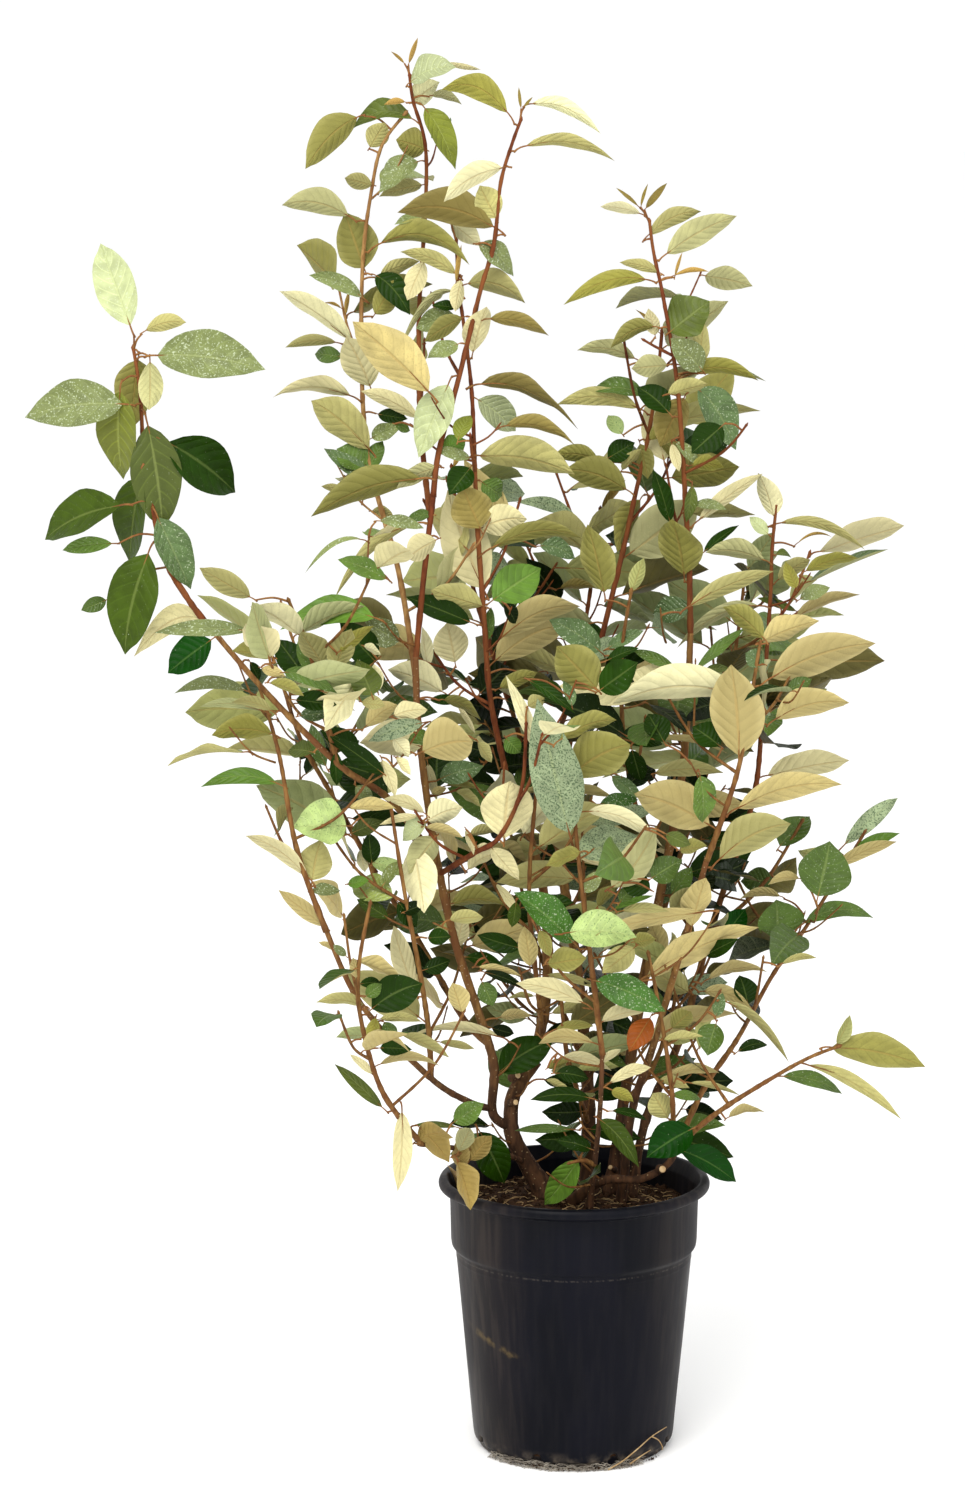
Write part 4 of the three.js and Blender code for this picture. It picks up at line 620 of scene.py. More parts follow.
# The front view that these places are measured in: where its eye stands, how it tips, its middle, its
# reach, and how many of its units a millimetre takes at the plant.
VIEW_EYE = np.array((-87.7, -4021.0, 1318.0))
VIEW_TIP = math.radians(9.05)
VIEW_MIDDLE = np.array((482.5, 748.0))
VIEW_REACH = 4321
VIEW_SCALE = 1.07

# Steady numbers. A use is a number that tells one kind of draw from the others.

WORD = 0xFFFFFFFF
DRAW_STEPS = (7919, 131, 17)
DRAW_START = 1831565813


def chance(seed, item, use):
    """A steady number from 0 to 1 for a seed, an item and a use."""
    t = (seed * DRAW_STEPS[0] + item * DRAW_STEPS[1] + use * DRAW_STEPS[2] + DRAW_START) & WORD
    t = ((t ^ (t >> 15)) * (t | 1)) & WORD
    t ^= (t + ((t ^ (t >> 7)) * (t | 61) & WORD)) & WORD
    return (t ^ (t >> 14)) / (WORD + 1)


def spread(seed, item, use, size):
    """The same number spread evenly from -size to size."""
    return (chance(seed, item, use) * 2 - 1) * size


def pick(words, seed, item, use):
    return words[int(chance(seed, item, use) * len(words))]


def between(ends, part):
    return ends[0] + (ends[1] - ends[0]) * part


# Lines through points

def unit(v):
    return v / np.linalg.norm(v)


def smooth(route, step):
    """A smooth curve through a route's points, as evenly spaced points about step apart."""
    route = np.array(route, float)
    last = len(route) - 1
    t = (np.arange(SPAN_SAMPLES) / SPAN_SAMPLES)[:, None]
    weights = (
        -0.5 * t + t * t - 0.5 * t ** 3,
        1 - 2.5 * t * t + 1.5 * t ** 3,
        0.5 * t + 2 * t * t - 1.5 * t ** 3,
        -0.5 * t * t + 0.5 * t ** 3,
    )
    spans = []
    for i in range(last):
        near = (route[max(i - 1, 0)], route[i], route[i + 1], route[min(i + 2, last)])
        spans.append(sum(weight * point for weight, point in zip(weights, near)))
    fine = np.vstack([*spans, route[last:]])
    along = np.concatenate([[0], np.cumsum(np.linalg.norm(np.diff(fine, axis=0), axis=1))])
    count = max(math.floor(along[-1] / step + 0.5), 1)
    places = np.linspace(0, along[-1], count + 1)
    return np.column_stack([np.interp(places, along, fine[:, k]) for k in range(3)])


def place_on(points, step, distance):
    """The point at a distance along evenly spaced points."""
    t = min(distance / step, len(points) - 1.001)
    i = math.floor(t)
    return points[i] * (1 - (t - i)) + points[i + 1] * (t - i)


def measure(points):
    """The step between evenly spaced points, and their whole length."""
    step = np.linalg.norm(points[1] - points[0])
    return step, step * (len(points) - 1)


def heading(turn, rise):
    """A direction from its turn away from the back and its rise above the level."""
    return math.sin(turn) * math.cos(rise), math.cos(turn) * math.cos(rise), math.sin(rise)


# Leaves as the growth rule sees them

def swell_at(t):
    """The width of a blade at t along its leaf, as a part of its full width."""
    far = np.clip((t - BLADE_START) / (1 - BLADE_START), 0, 1)
    return np.sin(np.pi * far ** BLADE_SWELL)


class Leaf:
    """A leaf: base on its twig's axis, direction, upper face, length and the kind that it is."""

    def __init__(self, base, direction, upper, length, width, twig, own=False):
        self.base = np.array(base, float)
        self.along = unit(np.array(direction, float))
        upper = np.array(upper, float)
        self.face = unit(upper - self.along * (upper @ self.along))
        self.across = np.cross(self.face, self.along)
        self.length = length
        self.half = length * width / 2
        self.twig = twig
        self.own = own
        self.kind = "olive"
        self.arch = np.zeros(3)

    def point(self, t, s):
        swell = swell_at(t)
        rise = BLADE_FOLD * abs(s) * swell * self.half - BLADE_DROOP * self.length * t * t
        ahead = self.base + self.along * t * self.length
        return ahead + self.across * s * swell * self.half + self.face * rise

    def probes(self):
        """The points that the leaf is tested at."""
        side = PROBE_S * PROBE_SWELL * self.half
        rise = BLADE_FOLD * np.abs(PROBE_S) * PROBE_SWELL * self.half
        rise = rise - BLADE_DROOP * self.length * PROBE_T ** 2
        flat = np.outer(PROBE_T * self.length, self.along) + np.outer(side, self.across)
        return self.base + flat + np.outer(rise, self.face)

    def comes_near(self, points, room):
        """Whether any of the points lies within room of the blade."""
        away = points - self.base
        ways = (away @ self.along, away @ self.across, away @ self.face)
        return np.any(near_blade(ways, self.length, self.half, room))


PROBE_PLACES = [(t, s) for t in (0.2, 0.35, 0.5, 0.65, 0.8, 0.92) for s in (-1, -0.5, 0, 0.5, 1)] + [(1, 0)]
PROBE_T = np.array([place[0] for place in PROBE_PLACES])
PROBE_S = np.array([place[1] for place in PROBE_PLACES])
PROBE_SWELL = swell_at(PROBE_T)


def near_blade(ways, length, half, room):
    """Whether places, given along a leaf's three directions, lie within room of its blade."""
    t = ways[0] / length
    wide = swell_at(t) * half
    aside = np.abs(ways[1])
    rise = BLADE_FOLD * np.minimum(aside, wide) - BLADE_DROOP * length * t * t
    beside = (t >= STALK) & (t <= 1 + room / length) & (aside <= wide + room)
    return beside & (np.abs(ways[2] - rise) < room)


def inside_pot(points):
    """Whether any point is in the pot or the soil."""
    radius = np.hypot(points[:, 0], points[:, 1])
    height = np.where(radius > BAND_FOOT_RADIUS - WALL_ROOM, POT_HEIGHT, SOIL_TOP)
    return bool(np.any((radius < RIM_RADIUS + POT_ROOM) & (points[:, 2] < height + POT_ROOM)))


class Plant:
    """What has grown so far: stems as points with a radius, and leaves, that later ones keep clear of."""

    def __init__(self):
        self.stem_points = np.zeros((0, 3))
        self.stem_radii = np.zeros(0)
        self.stem_twigs = np.zeros(0, "U60")
        self.leaves = []
        self.frames = np.zeros((MOST_LEAVES, 3, 3))
        self.bases = np.zeros((MOST_LEAVES, 3))
        self.middles = np.zeros((MOST_LEAVES, 3))
        self.lengths = np.zeros(MOST_LEAVES)
        self.halves = np.zeros(MOST_LEAVES)
        self.probes = np.zeros((MOST_LEAVES, len(PROBE_PLACES), 3))

    def keep_stem(self, points, radii, twig):
        self.stem_points = np.vstack([self.stem_points, points])
        self.stem_radii = np.concatenate([self.stem_radii, radii])
        self.stem_twigs = np.concatenate([self.stem_twigs, np.full(len(points), twig)])

    def keep_leaf(self, leaf):
        i = len(self.leaves)
        self.leaves.append(leaf)
        self.frames[i] = (leaf.along, leaf.across, leaf.face)
        self.bases[i] = leaf.base
        self.middles[i] = leaf.point(0.5, 0)
        self.lengths[i] = leaf.length
        self.halves[i] = leaf.half
        self.probes[i] = leaf.probes()

    def blades_near(self, points, which, room):
        """Whether any of the points lies within room of one of these blades."""
        away = points[None] - self.bases[which][:, None]
        ways = np.einsum("lpk,lak->alp", away, self.frames[which])
        return np.any(near_blade(ways, self.lengths[which][:, None], self.halves[which][:, None], room))

    def leaf_is_free(self, leaf, leaf_room=LEAF_ROOM):
        """Whether a leaf keeps clear of pot, stems and leaves, apart from the foot of its own twig."""
        middle = leaf.point(0.5, 0)
        probes = leaf.probes()
        if inside_pot(probes):
            return False
        near = np.linalg.norm(self.stem_points - middle, axis=1) <= leaf.length
        points = self.stem_points[near]
        near_foot = np.linalg.norm(points - leaf.base, axis=1) < LEAF_FOOT
        counts = (self.stem_twigs[near] != leaf.twig) | ~(near_foot | leaf.own)
        if leaf.comes_near(points[counts], self.stem_radii[near][counts] + STEM_ROOM):
            return False
        count = len(self.leaves)
        meeting = (self.lengths[:count] + leaf.length) * MEETING
        close = np.flatnonzero(np.linalg.norm(self.middles[:count] - middle, axis=1) <= meeting)
        if len(close) == 0:
            return True
        room = OWN_ROOM if leaf.own else leaf_room
        if leaf.comes_near(self.probes[close].reshape(-1, 3), room):
            return False
        return not self.blades_near(probes, close, room)

    def twig_is_free(self, points, room=TWIG_ROOM):
        """Whether a twig's points keep clear of all that has grown, apart from its own foot."""
        points = points[np.linalg.norm(points - points[0], axis=1) >= TWIG_FOOT]
        if len(points) == 0:
            return True
        if inside_pot(points):
            return False
        apart = np.linalg.norm(self.stem_points[None] - points[:, None], axis=2)
        if np.any(apart < self.stem_radii + room):
            return False
        return not self.blades_near(points, slice(len(self.leaves)), room)


class Shoot:
    """A stem or a twig that is drawn: its points, radius at both ends, wood, and name if a twig."""

    def __init__(self, points, radius, wood, twig=None):
        self.points = points
        self.radius = radius
        self.wood = wood
        self.twig = twig

    def cut_after(self, places):
        """Ends the twig just past the last of the places that carry a leaf."""
        last = max(np.argmin(np.linalg.norm(self.points - place, axis=1)) for place in places)
        self.points = self.points[:max(last + 2, 3)]


# The rule that places leaves and twigs

HOURS = {"x": 10, "e": 11}


def leaf_at(base, hour, lift, length, light, seed, item, twig, kind):
    """A leaf that points to an hour, with its own lift, length and turn of the upper face."""
    turn = hour * math.pi / 6 + spread(seed, item, 1, LEAF_SPREAD["turn"])
    rise = lift + spread(seed, item, 2, LEAF_SPREAD["lift"])
    upper = [light[k] + spread(seed, item, 3 + k, LEAF_SPREAD["face"]) for k in range(3)]
    size = length * (1 + spread(seed, item, 6, LEAF_SPREAD["size"]))
    width = LEAF_WIDTH * (1 + spread(seed, item, 7, LEAF_SPREAD["width"]))
    leaf = Leaf(base, heading(turn, rise), upper, size, width, twig)
    leaf.kind = kind
    return leaf


def stem_leaves(mass, name, points):
    """Leaves along the stem of a mass, by its clock, and a small pair at the tip."""
    step, total = measure(points)
    clock = mass["clock"]
    seed = mass["seed"]
    gap = (total - FIRST_LEAF - LAST_LEAF) / len(clock)
    leaves = []
    for i, letter in enumerate(clock):
        stagger = i + LEAF_STAGGER[0] + spread(seed, i, 8, LEAF_STAGGER[1])
        place = place_on(points, step, FIRST_LEAF + gap * stagger)
        length = LEAF_LENGTH * (FOOT_LENGTH - LENGTH_LOSS * i / len(clock)) * mass["size"]
        hour = HOURS.get(letter) or int(letter)
        kind = pick(mass["kinds"], seed, i, 31)
        leaves.append(leaf_at(place, hour, STEM_LIFT, length, mass["light"], seed, i, name, kind))
    tip = place_on(points, step, total - TIP_PAIR["back"])
    for k, hour in enumerate((3, 9)):
        size = LEAF_LENGTH * TIP_PAIR["size"]
        kind = "copper" if mass["wood"] == "red" else pick(mass["kinds"], seed, k, 32)
        item = TIP_PAIR["item"] + k
        leaves.append(leaf_at(tip, hour, TIP_PAIR["lift"], size, LIGHT, seed, item, name, kind))
    return leaves


def own_leaves(mass, name, points):
    """Leaves set one by one: the height on the stem, and how far the tip lies from there."""
    kinds = mass["own_kinds"]
    leaves = []
    for i, (height, *reach) in enumerate(mass["own"]):
        base = points[np.argmin(np.abs(points[:, 2] - height))]
        leaf = Leaf(base, reach, mass["light"], math.hypot(*reach), LEAF_WIDTH * OWN_WIDTH, name, own=True)
        leaf.kind = kinds[i] if kinds else pick(mass["kinds"], mass["seed"], i, 33)
        leaves.append(leaf)
    return leaves


def turning_twig(place, turn, rise, length):
    """A twig that leaves a place at a turn and a rise, and bends upward."""
    out = np.array(heading(turn, rise))
    end = place + out * length * TWIG_OUT + (0, 0, length * TWIG_UP)
    return smooth([place, place + out * length / 2, end], TWIG_FINE_STEP)


def side_twig(mass, points, i):
    """A side twig that leaves the stem at a golden angle from the last one and turns upward."""
    seed = mass["seed"]
    step, total = measure(points)
    far = (i + TWIG_STAGGER[0] + TWIG_STAGGER[1] * chance(seed, i, 21)) / (mass["twigs"] + TWIG_STAGGER[2])
    place = place_on(points, step, FIRST_TWIG + (total * TWIG_ZONE - FIRST_TWIG) * far)
    turn = seed + i * GOLDEN_TURN + spread(seed, i, 22, TURN_SPREAD)
    rise = between(TWIG_RISE, chance(seed, i, 23))
    return turning_twig(place, turn, rise, between(TWIG_LENGTH, chance(seed, i, 24))), turn


def side_of(k, count):
    """The side of a leaf of a spray: left and right by turns, and straight on at the tip."""
    return 0 if k == count - 1 else (k % 2) * 2 - 1


def twig_leaves(mass, name, points, turn, i):
    """Leaves on a side twig, all of one kind."""
    step, total = measure(points)
    rule = TWIG_LEAVES
    count = max(math.floor(total / rule["spacing"] + 0.5), 2)
    length = LEAF_LENGTH * rule["size"] * mass["size"]
    seed = mass["seed"]
    kind = pick(mass["kinds"], seed, i, 34)
    leaves = []
    for k in range(count):
        distance = total * (rule["bare"] + (1 - rule["bare"]) * k / (count - 1)) - rule["back"]
        hour = turn * 6 / math.pi + side_of(k, count) * rule["hours"]
        place = place_on(points, step, distance)
        item = rule["item"] + i * 10 + k
        leaves.append(leaf_at(place, hour, rule["lift"], length, mass["light"], seed, item, name, kind))
    return leaves


def finer_twig(points, seed, i, count, number):
    """A short twig between the side twigs."""
    step, total = measure(points)
    far = FINER_ZONE[0] + FINER_ZONE[1] * (i + chance(seed, number, 41)) / count
    place = place_on(points, step, total * far)
    turn = seed * FINER_TURN + i * GOLDEN_TURN + spread(seed, number, 42, FINER_TURN_SPREAD)
    rise = FINER_RISE[0] + FINER_RISE[1] * chance(seed, number, 43)
    return turning_twig(place, turn, rise, between(FINER_LENGTH, chance(seed, number, 44))), turn


def finer_leaves(points, turn, seed, number, name, mass):
    """Small leaves close together on a finer twig; the whole spray is of one kind."""
    step, total = measure(points)
    count = max(math.floor(total / FINER_SPACING + 0.5), 3)
    to_front = chance(seed, number, 45) < mass["front"]
    light = FRONT_LIGHT if to_front else LIGHT
    kind = pick(FRONT_KINDS if to_front else mass["kinds"], seed, number, 46)
    leaves = []
    for k in range(count):
        hours = FINER_HOURS[0] + FINER_HOURS[1] * chance(seed, number + k, 47)
        hour = turn * 6 / math.pi + side_of(k, count) * hours
        far = FINER_LEAF_ZONE[0] + FINER_LEAF_ZONE[1] * k / (count - 1)
        place = place_on(points, step, total * far - 1)
        length = FINER_LEAF * mass["size"] * (FINER_TAPER[0] - FINER_TAPER[1] * k / count)
        item = FINER_ITEM + number * 10 + k
        leaves.append(leaf_at(place, hour, FINER_LIFT, length, light, seed, item, name, kind))
    return leaves


def limb_radii(limb, count, length):
    t = np.linspace(0, 1, count)
    return between(limb["radius"], t) + limb["flare"] * np.exp(-t * length / FLARE_HEIGHT)


def in_reach(leaf, points):
    return np.min(np.linalg.norm(points - leaf.point(1, 0), axis=1)) <= REACH


def in_box(leaf):
    """Whether a leaf's tip lies within the box that the solids fill."""
    tip = leaf.point(1, 0) * MM
    return all(CAD_BOX[0][k] <= tip[k] <= CAD_BOX[1][k] for k in range(3))


def grow_stems(plant, shoots):
    """The limbs and the stem of each mass."""
    for name, limb in LIMBS.items():
        points = smooth(limb["route"], FINE_STEP)
        plant.keep_stem(points, limb_radii(limb, len(points), FINE_STEP * len(points)), name)
    stems = {}
    for name, mass in MASSES.items():
        stems[name] = smooth(mass["route"], FINE_STEP)
        plant.keep_stem(stems[name], np.linspace(*STEM_RADIUS, len(stems[name])), name)
        shoots.append(Shoot(stems[name], STEM_RADIUS, mass["wood"]))
    return stems


def grow_twigs(plant, shoots, stems):
    """The side twigs of each mass that have room."""
    twigs = {name: [] for name in MASSES}
    for name, mass in MASSES.items():
        for i in range(mass["twigs"]):
            points, turn = side_twig(mass, stems[name], i)
            if not plant.twig_is_free(points):
                continue
            twig = f"{name} twig {i}"
            twigs[name].append((twig, points, turn, i))
            keep_twig(plant, shoots, points, TWIG_RADIUS, mass["wood"], twig)
    return twigs


def keep_twig(plant, shoots, points, radius, wood, twig):
    fine = smooth(points, FINE_STEP)
    plant.keep_stem(fine, np.linspace(*radius, len(fine)), twig)
    shoots.append(Shoot(fine, radius, wood, twig))


def grow_leaves(plant, stems, twigs):
    """The leaves of each mass that have room, as in the solids."""
    for name, mass in MASSES.items():
        wanted = own_leaves(mass, name, stems[name]) + stem_leaves(mass, name, stems[name])
        for twig, points, turn, i in twigs[name]:
            wanted += twig_leaves(mass, twig, points, turn, i)
        for leaf in wanted:
            if in_reach(leaf, stems[name]) and plant.leaf_is_free(leaf):
                plant.keep_leaf(leaf)


def grow_finer(plant, shoots, name, seed, carriers, count, mass):
    """Finer twigs on a stem and on its side twigs, each with its leaves, where there is room."""
    for c, carrier in enumerate(carriers):
        wanted = count if c == 0 else max(count // 3, 1)
        for i in range(wanted):
            number = c * 40 + i
            points, turn = finer_twig(carrier, seed + c, i, wanted, number)
            if not plant.twig_is_free(points, FINER_TWIG_ROOM):
                continue
            twig = f"{name} finer {number}"
            bare = True
            for leaf in finer_leaves(points, turn, seed, number, twig, mass):
                if in_box(leaf) and in_reach(leaf, carriers[0]) and plant.leaf_is_free(leaf, FINER_ROOM):
                    plant.keep_leaf(leaf)
                    bare = False
            if not bare:
                keep_twig(plant, shoots, points, FINER_RADIUS, mass["wood"], twig)


def grow():
    """Grows the plant by the rule of its solids, then the finer twigs. Gives it and its shoots."""
    plant = Plant()
    shoots = []
    stems = grow_stems(plant, shoots)
    twigs = grow_twigs(plant, shoots, stems)
    grow_leaves(plant, stems, twigs)
    for name, mass in MASSES.items():
        carriers = [stems[name]] + [points for _, points, _, _ in twigs[name]]
        grow_finer(plant, shoots, name, mass["seed"], carriers, mass["finer"], mass)
    for k, (name, count) in enumerate(LIMB_TWIGS.items()):
        carriers = [smooth(LIMBS[name]["route"], FINE_STEP)]
        grow_finer(plant, shoots, name, LIMB_SEED + k, carriers, count, LIMB_SPRAYS)
    return plant, shoots


def turned(vector, axis, angle):
    """A direction turned about an axis."""
    across = np.cross(axis, vector)
    along = axis * (axis @ vector)
    return along + (vector - along) * math.cos(angle) + across * math.sin(angle)


def draw_size(leaf, i):
    """How much larger a leaf is drawn than in the solids: more on the tall shoots than low down."""
    high = np.clip((leaf.base[2] - DRAWN_LOW[0]) / (DRAWN_HIGH[0] - DRAWN_LOW[0]), 0, 1)
    return DRAWN_LOW[1] + (DRAWN_HIGH[1] - DRAWN_LOW[1]) * high + spread(i, 1, 57, DRAWN_SPREAD)


def is_shaded(leaf, i):
    """Whether a leaf is one of those in the shaded inside of the crown."""
    if abs(leaf.base[2] - INNER_MIDDLE) >= INNER_HALF or chance(i, 5, 62) >= INNER_SHARE:
        return False
    return math.hypot(leaf.base[0] / INNER_WIDE, (leaf.base[1] - INNER_BACK) / INNER_DEEP) < 1


def settle_leaves(leaves):
    """Gives each leaf the size and the turn that it is drawn with, which vary more than in the solids."""
    for i, leaf in enumerate(leaves):
        if leaf.kind == "copper":
            leaf.half *= COPPER_WIDTH
            continue
        if leaf.own:
            continue
        # Painted shade: leaves inside the crown take very dark colours in place of their shade.
        if is_shaded(leaf, i):
            leaf.kind = "deep"
        grown = draw_size(leaf, i)
        leaf.length *= grown
        leaf.half *= grown * (DRAWN_WIDTH[0] + DRAWN_WIDTH[1] * chance(i, 2, 57))
        for axis, use, most in DRAWN_TURNS:
            angle = spread(i, 3, use, most)
            for side in ("along", "across", "face"):
                if side != axis:
                    setattr(leaf, side, turned(getattr(leaf, side), getattr(leaf, axis), angle))


# Leaves that the front view shows singly

def on_view(points):
    """Where the front view shows points."""
    away = points - VIEW_EYE
    ahead = away[:, 1] * math.cos(VIEW_TIP) - away[:, 2] * math.sin(VIEW_TIP)
    up = away[:, 1] * math.sin(VIEW_TIP) + away[:, 2] * math.cos(VIEW_TIP)
    return VIEW_MIDDLE + VIEW_REACH * np.column_stack([away[:, 0], -up]) / ahead[:, None]


def from_view(x, y, back):
    """The point at a place in the front view that lies back from the middle of the plant."""
    across, down = (np.array((x, y)) - VIEW_MIDDLE) / VIEW_REACH
    ahead = math.cos(VIEW_TIP) - down * math.sin(VIEW_TIP)
    way = np.array((across, ahead, -math.sin(VIEW_TIP) - down * math.cos(VIEW_TIP)))
    return VIEW_EYE + way * (back - VIEW_EYE[1]) / ahead


def shown_leaf(item, kind, side, row, plant, places):
    """A leaf of the front view with the stem point that carries it: the nearest, those in front first."""
    x, y, tip_x, tip_y, width, arch = (*row, 0)[:6]
    across = tip_x - x
    down = tip_y - y
    foot = np.array((x, y)) - SHOWN_STALK * np.array((across, down))
    cost = np.linalg.norm(places - foot, axis=1) + DEPTH_COST * plant.stem_points[:, 1]
    nearest = np.argmin(cost)
    stem = plant.stem_points[nearest]
    back = stem[1] - SHOWN_LIFT
    if stem[0] < FAR_LEFT and side == "upper":
        back = stem[1] + (FAR_LEFT_BACK if width < FAR_LEFT_NARROW else -FAR_LEFT_FRONT)
    base = from_view(*foot, back)
    span = math.hypot(across, down) / VIEW_SCALE
    reach = from_view(tip_x, tip_y, back + spread(item, 1, 62, SHOWN_LEAN) * span) - base
    ahead = SHOWN_FACE["ahead"] * (-1 if side == "upper" else 1)
    rise = SHOWN_FACE["up"] + spread(item, 3, 62, SHOWN_FACE["rise"])
    upper = (spread(item, 2, 62, SHOWN_FACE["sway"]), ahead, rise)
    length = np.linalg.norm(reach)
    leaf = Leaf(base, reach, upper, length, width / VIEW_SCALE / WIDTH_SEEN / length, "shown", own=True)
    leaf.kind = kind
    leaf.arch = np.array((0, 0, arch * length))
    return leaf, stem, str(plant.stem_twigs[nearest])


def set_shown_leaves(plant):
    """The leaves of the front view, their longer stalks, and the places on each twig that carry them."""
    places = on_view(plant.stem_points)
    rows = [(kind, side, row) for (kind, side), group in SHOWN.items() for row in group]
    shown = []
    stalks = []
    carried = {}
    for item, (kind, side, row) in enumerate(rows):
        leaf, stem, carrier = shown_leaf(item, kind, side, row, plant, places)
        shown.append(leaf)
        carried.setdefault(carrier, []).append(stem)
        gap = np.linalg.norm(leaf.base - stem)
        if gap > STALK_GAP:
            middle = (stem + leaf.base) / 2 + (0, 0, gap * STALK_ARCH)
            stalks.append(smooth([stem, middle, leaf.base + leaf.along * 2], FINE_STEP / 2))
    return shown, stalks, carried


def is_cleared(seen, places):
    """Whether a place of the view lies in the reach of one of the places that stay clear."""
    return any(math.hypot(seen[0] - x, seen[1] - y) < reach for x, y, reach in places)


def gives_way(leaf, middles, lengths, depths):
    """Whether a leaf of the rule makes room for those shown singly or for a place that stays clear."""
    if leaf.point(1, 0)[1] < FRONT_REACH:
        return False
    seen = on_view(leaf.point(MIDDLE, 0)[None])[0]
    depth = leaf.base[1]
    near = np.linalg.norm(middles - seen, axis=1) < SHOWN_ROOM * (lengths + leaf.length)
    hides = np.any(near & (depth < depths + SHOWN_DEPTH))
    end_on = leaf.along[1] > END_ON and not leaf.own
    sideways = leaf.base[2] > SHOWN_TOP and abs(leaf.along[0]) > SIDEWAYS and depth < SIDEWAYS_DEPTH
    return (
        hides and not end_on
        or sideways and not leaf.own
        or leaf.base[0] < FAR_LEFT
        or is_cleared(seen, SKY_CLEAR)
        or is_cleared(seen, FOOT_CLEAR) and depth < FOOT_BACK
    )


def show_leaves(plant, shoots):
    """Adds the leaves of the front view with their stalks, and takes out those that hide them."""
    shown, stalks, carried = set_shown_leaves(plant)
    middles = on_view(np.array([leaf.point(MIDDLE, 0) for leaf in shown]))
    lengths = np.array([leaf.length for leaf in shown])
    depths = np.array([leaf.base[1] for leaf in shown])
    kept = [leaf for leaf in plant.leaves if not gives_way(leaf, middles, lengths, depths)]
    had = Counter(leaf.twig for leaf in plant.leaves)
    left = Counter(leaf.twig for leaf in kept)
    names = [shoot.twig for shoot in shoots if shoot.twig]
    bare = {name for name in names if left[name] <= BARE_SHARE * had[name]}
    kept = [leaf for leaf in kept if leaf.twig not in bare]
    for shoot in shoots:
        if shoot.twig in bare and shoot.twig in carried:
            shoot.cut_after(carried[shoot.twig])
    shoots = [shoot for shoot in shoots if shoot.twig not in bare or shoot.twig in carried]
    return kept + shown, shoots, stalks


# Meshes

def build_piece(name, points, polygons, materials, kinds=None, uv=None, rims=None):
    """A piece from points in millimetres and arrays of polygons.

    kinds numbers the material of each polygon, uv places each point on the map, and edges between two
    points of rims are sharp.
    """
    mesh = bpy.data.meshes.new(name)
    mesh.vertices.add(len(points))
    mesh.vertices.foreach_set("co", (points * MM).astype(np.float32).ravel())
    corners = np.concatenate([group.ravel() for group in polygons]).astype(np.int32)
    sizes = np.concatenate([np.full(len(group), group.shape[1]) for group in polygons])
    mesh.loops.add(len(corners))
    mesh.loops.foreach_set("vertex_index", corners)
    mesh.polygons.add(len(sizes))
    mesh.polygons.foreach_set("loop_start", np.concatenate([[0], np.cumsum(sizes)[:-1]]).astype(np.int32))
    mesh.polygons.foreach_set("use_smooth", np.ones(len(sizes), bool))
    if kinds is not None:
        mesh.polygons.foreach_set("material_index", kinds.astype(np.int32))
    if uv is not None:
        layer = mesh.uv_layers.new(name="UVMap")
        layer.data.foreach_set("uv", uv[corners].astype(np.float32).ravel())
    mesh.update(calc_edges=True)
    if rims is not None:
        ends = np.zeros(len(mesh.edges) * 2, np.int32)
        mesh.edges.foreach_get("vertices", ends)
        sharp = mesh.attributes.new("sharp_edge", "BOOLEAN", "EDGE")
        sharp.data.foreach_set("value", rims[ends[::2]] & rims[ends[1::2]])
    for material in materials:
        mesh.materials.append(material)
    piece = bpy.data.objects.new(name, mesh)
    bpy.context.scene.collection.objects.link(piece)
    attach(piece, "root")
    return piece


class Heap:
    """Many shapes that are joined into one piece."""

    def __init__(self):
        self.points = []
        self.quads = []
        self.tris = []
        self.count = 0

    def add(self, points, quads, tris):
        self.points.append(points)
        if quads is not None:
            self.quads.append(quads + self.count)
        self.tris.append(tris + self.count)
        self.count += len(points)

    def piece(self, name, material, slot):
        groups = [np.vstack(group) for group in (self.quads, self.tris) if group]
        return build_piece(name, np.vstack(self.points), groups, [material])


def ring_faces(rings, sides):
    """The quads between rings of points, and the tris that close both ends."""
    ring = np.arange(sides)
    after = (ring + 1) % sides
    band = np.column_stack([ring, after, after + sides, ring + sides])
    last = (rings - 1) * sides
    foot = np.column_stack([after, ring, np.full(sides, last + sides)])
    top = np.column_stack([ring + last, after + last, np.full(sides, last + sides + 1)])
    return np.vstack([band + i * sides for i in range(rings - 1)]), np.vstack([foot, top])


def tube_shape(points, radii, sides, twist=0.0, relief=None):
    """A closed tube through points with a radius for each, or relief's radius for each side."""
    along = np.gradient(points, axis=0)
    along /= np.linalg.norm(along, axis=1)[:, None]
    side = unit(np.cross((0.3, 1, 0.1), along[0]))
    turns = 2 * np.pi * np.arange(sides) / sides + twist
    rings = []
    for i, point in enumerate(points):
        side = unit(side - along[i] * (side @ along[i]))
        other = np.cross(along[i], side)
        radius = radii[i] if relief is None else relief(i, turns, radii[i])
        ring = point + np.outer(np.cos(turns) * radius, side)
        rings.append(ring + np.outer(np.sin(turns) * radius, other))
    return np.vstack([*rings, points[0], points[-1]]), *ring_faces(len(points), sides)


def taper_shape(points, radius, sides):
    """A closed tube with a radius at its start and one at its end."""
    return tube_shape(points, np.linspace(*radius, len(points)), sides)


def noise_at(*place):
    """Smooth noise at a place, from -1 to 1."""
    return noise.noise(Vector(place))


# Leaves. A drawn blade narrows toward its tip over POINT_LENGTH. Each leaf has moods of its own: how far
# it is twisted and bent, how its edge waves, how its tip curls and how deep it is folded.

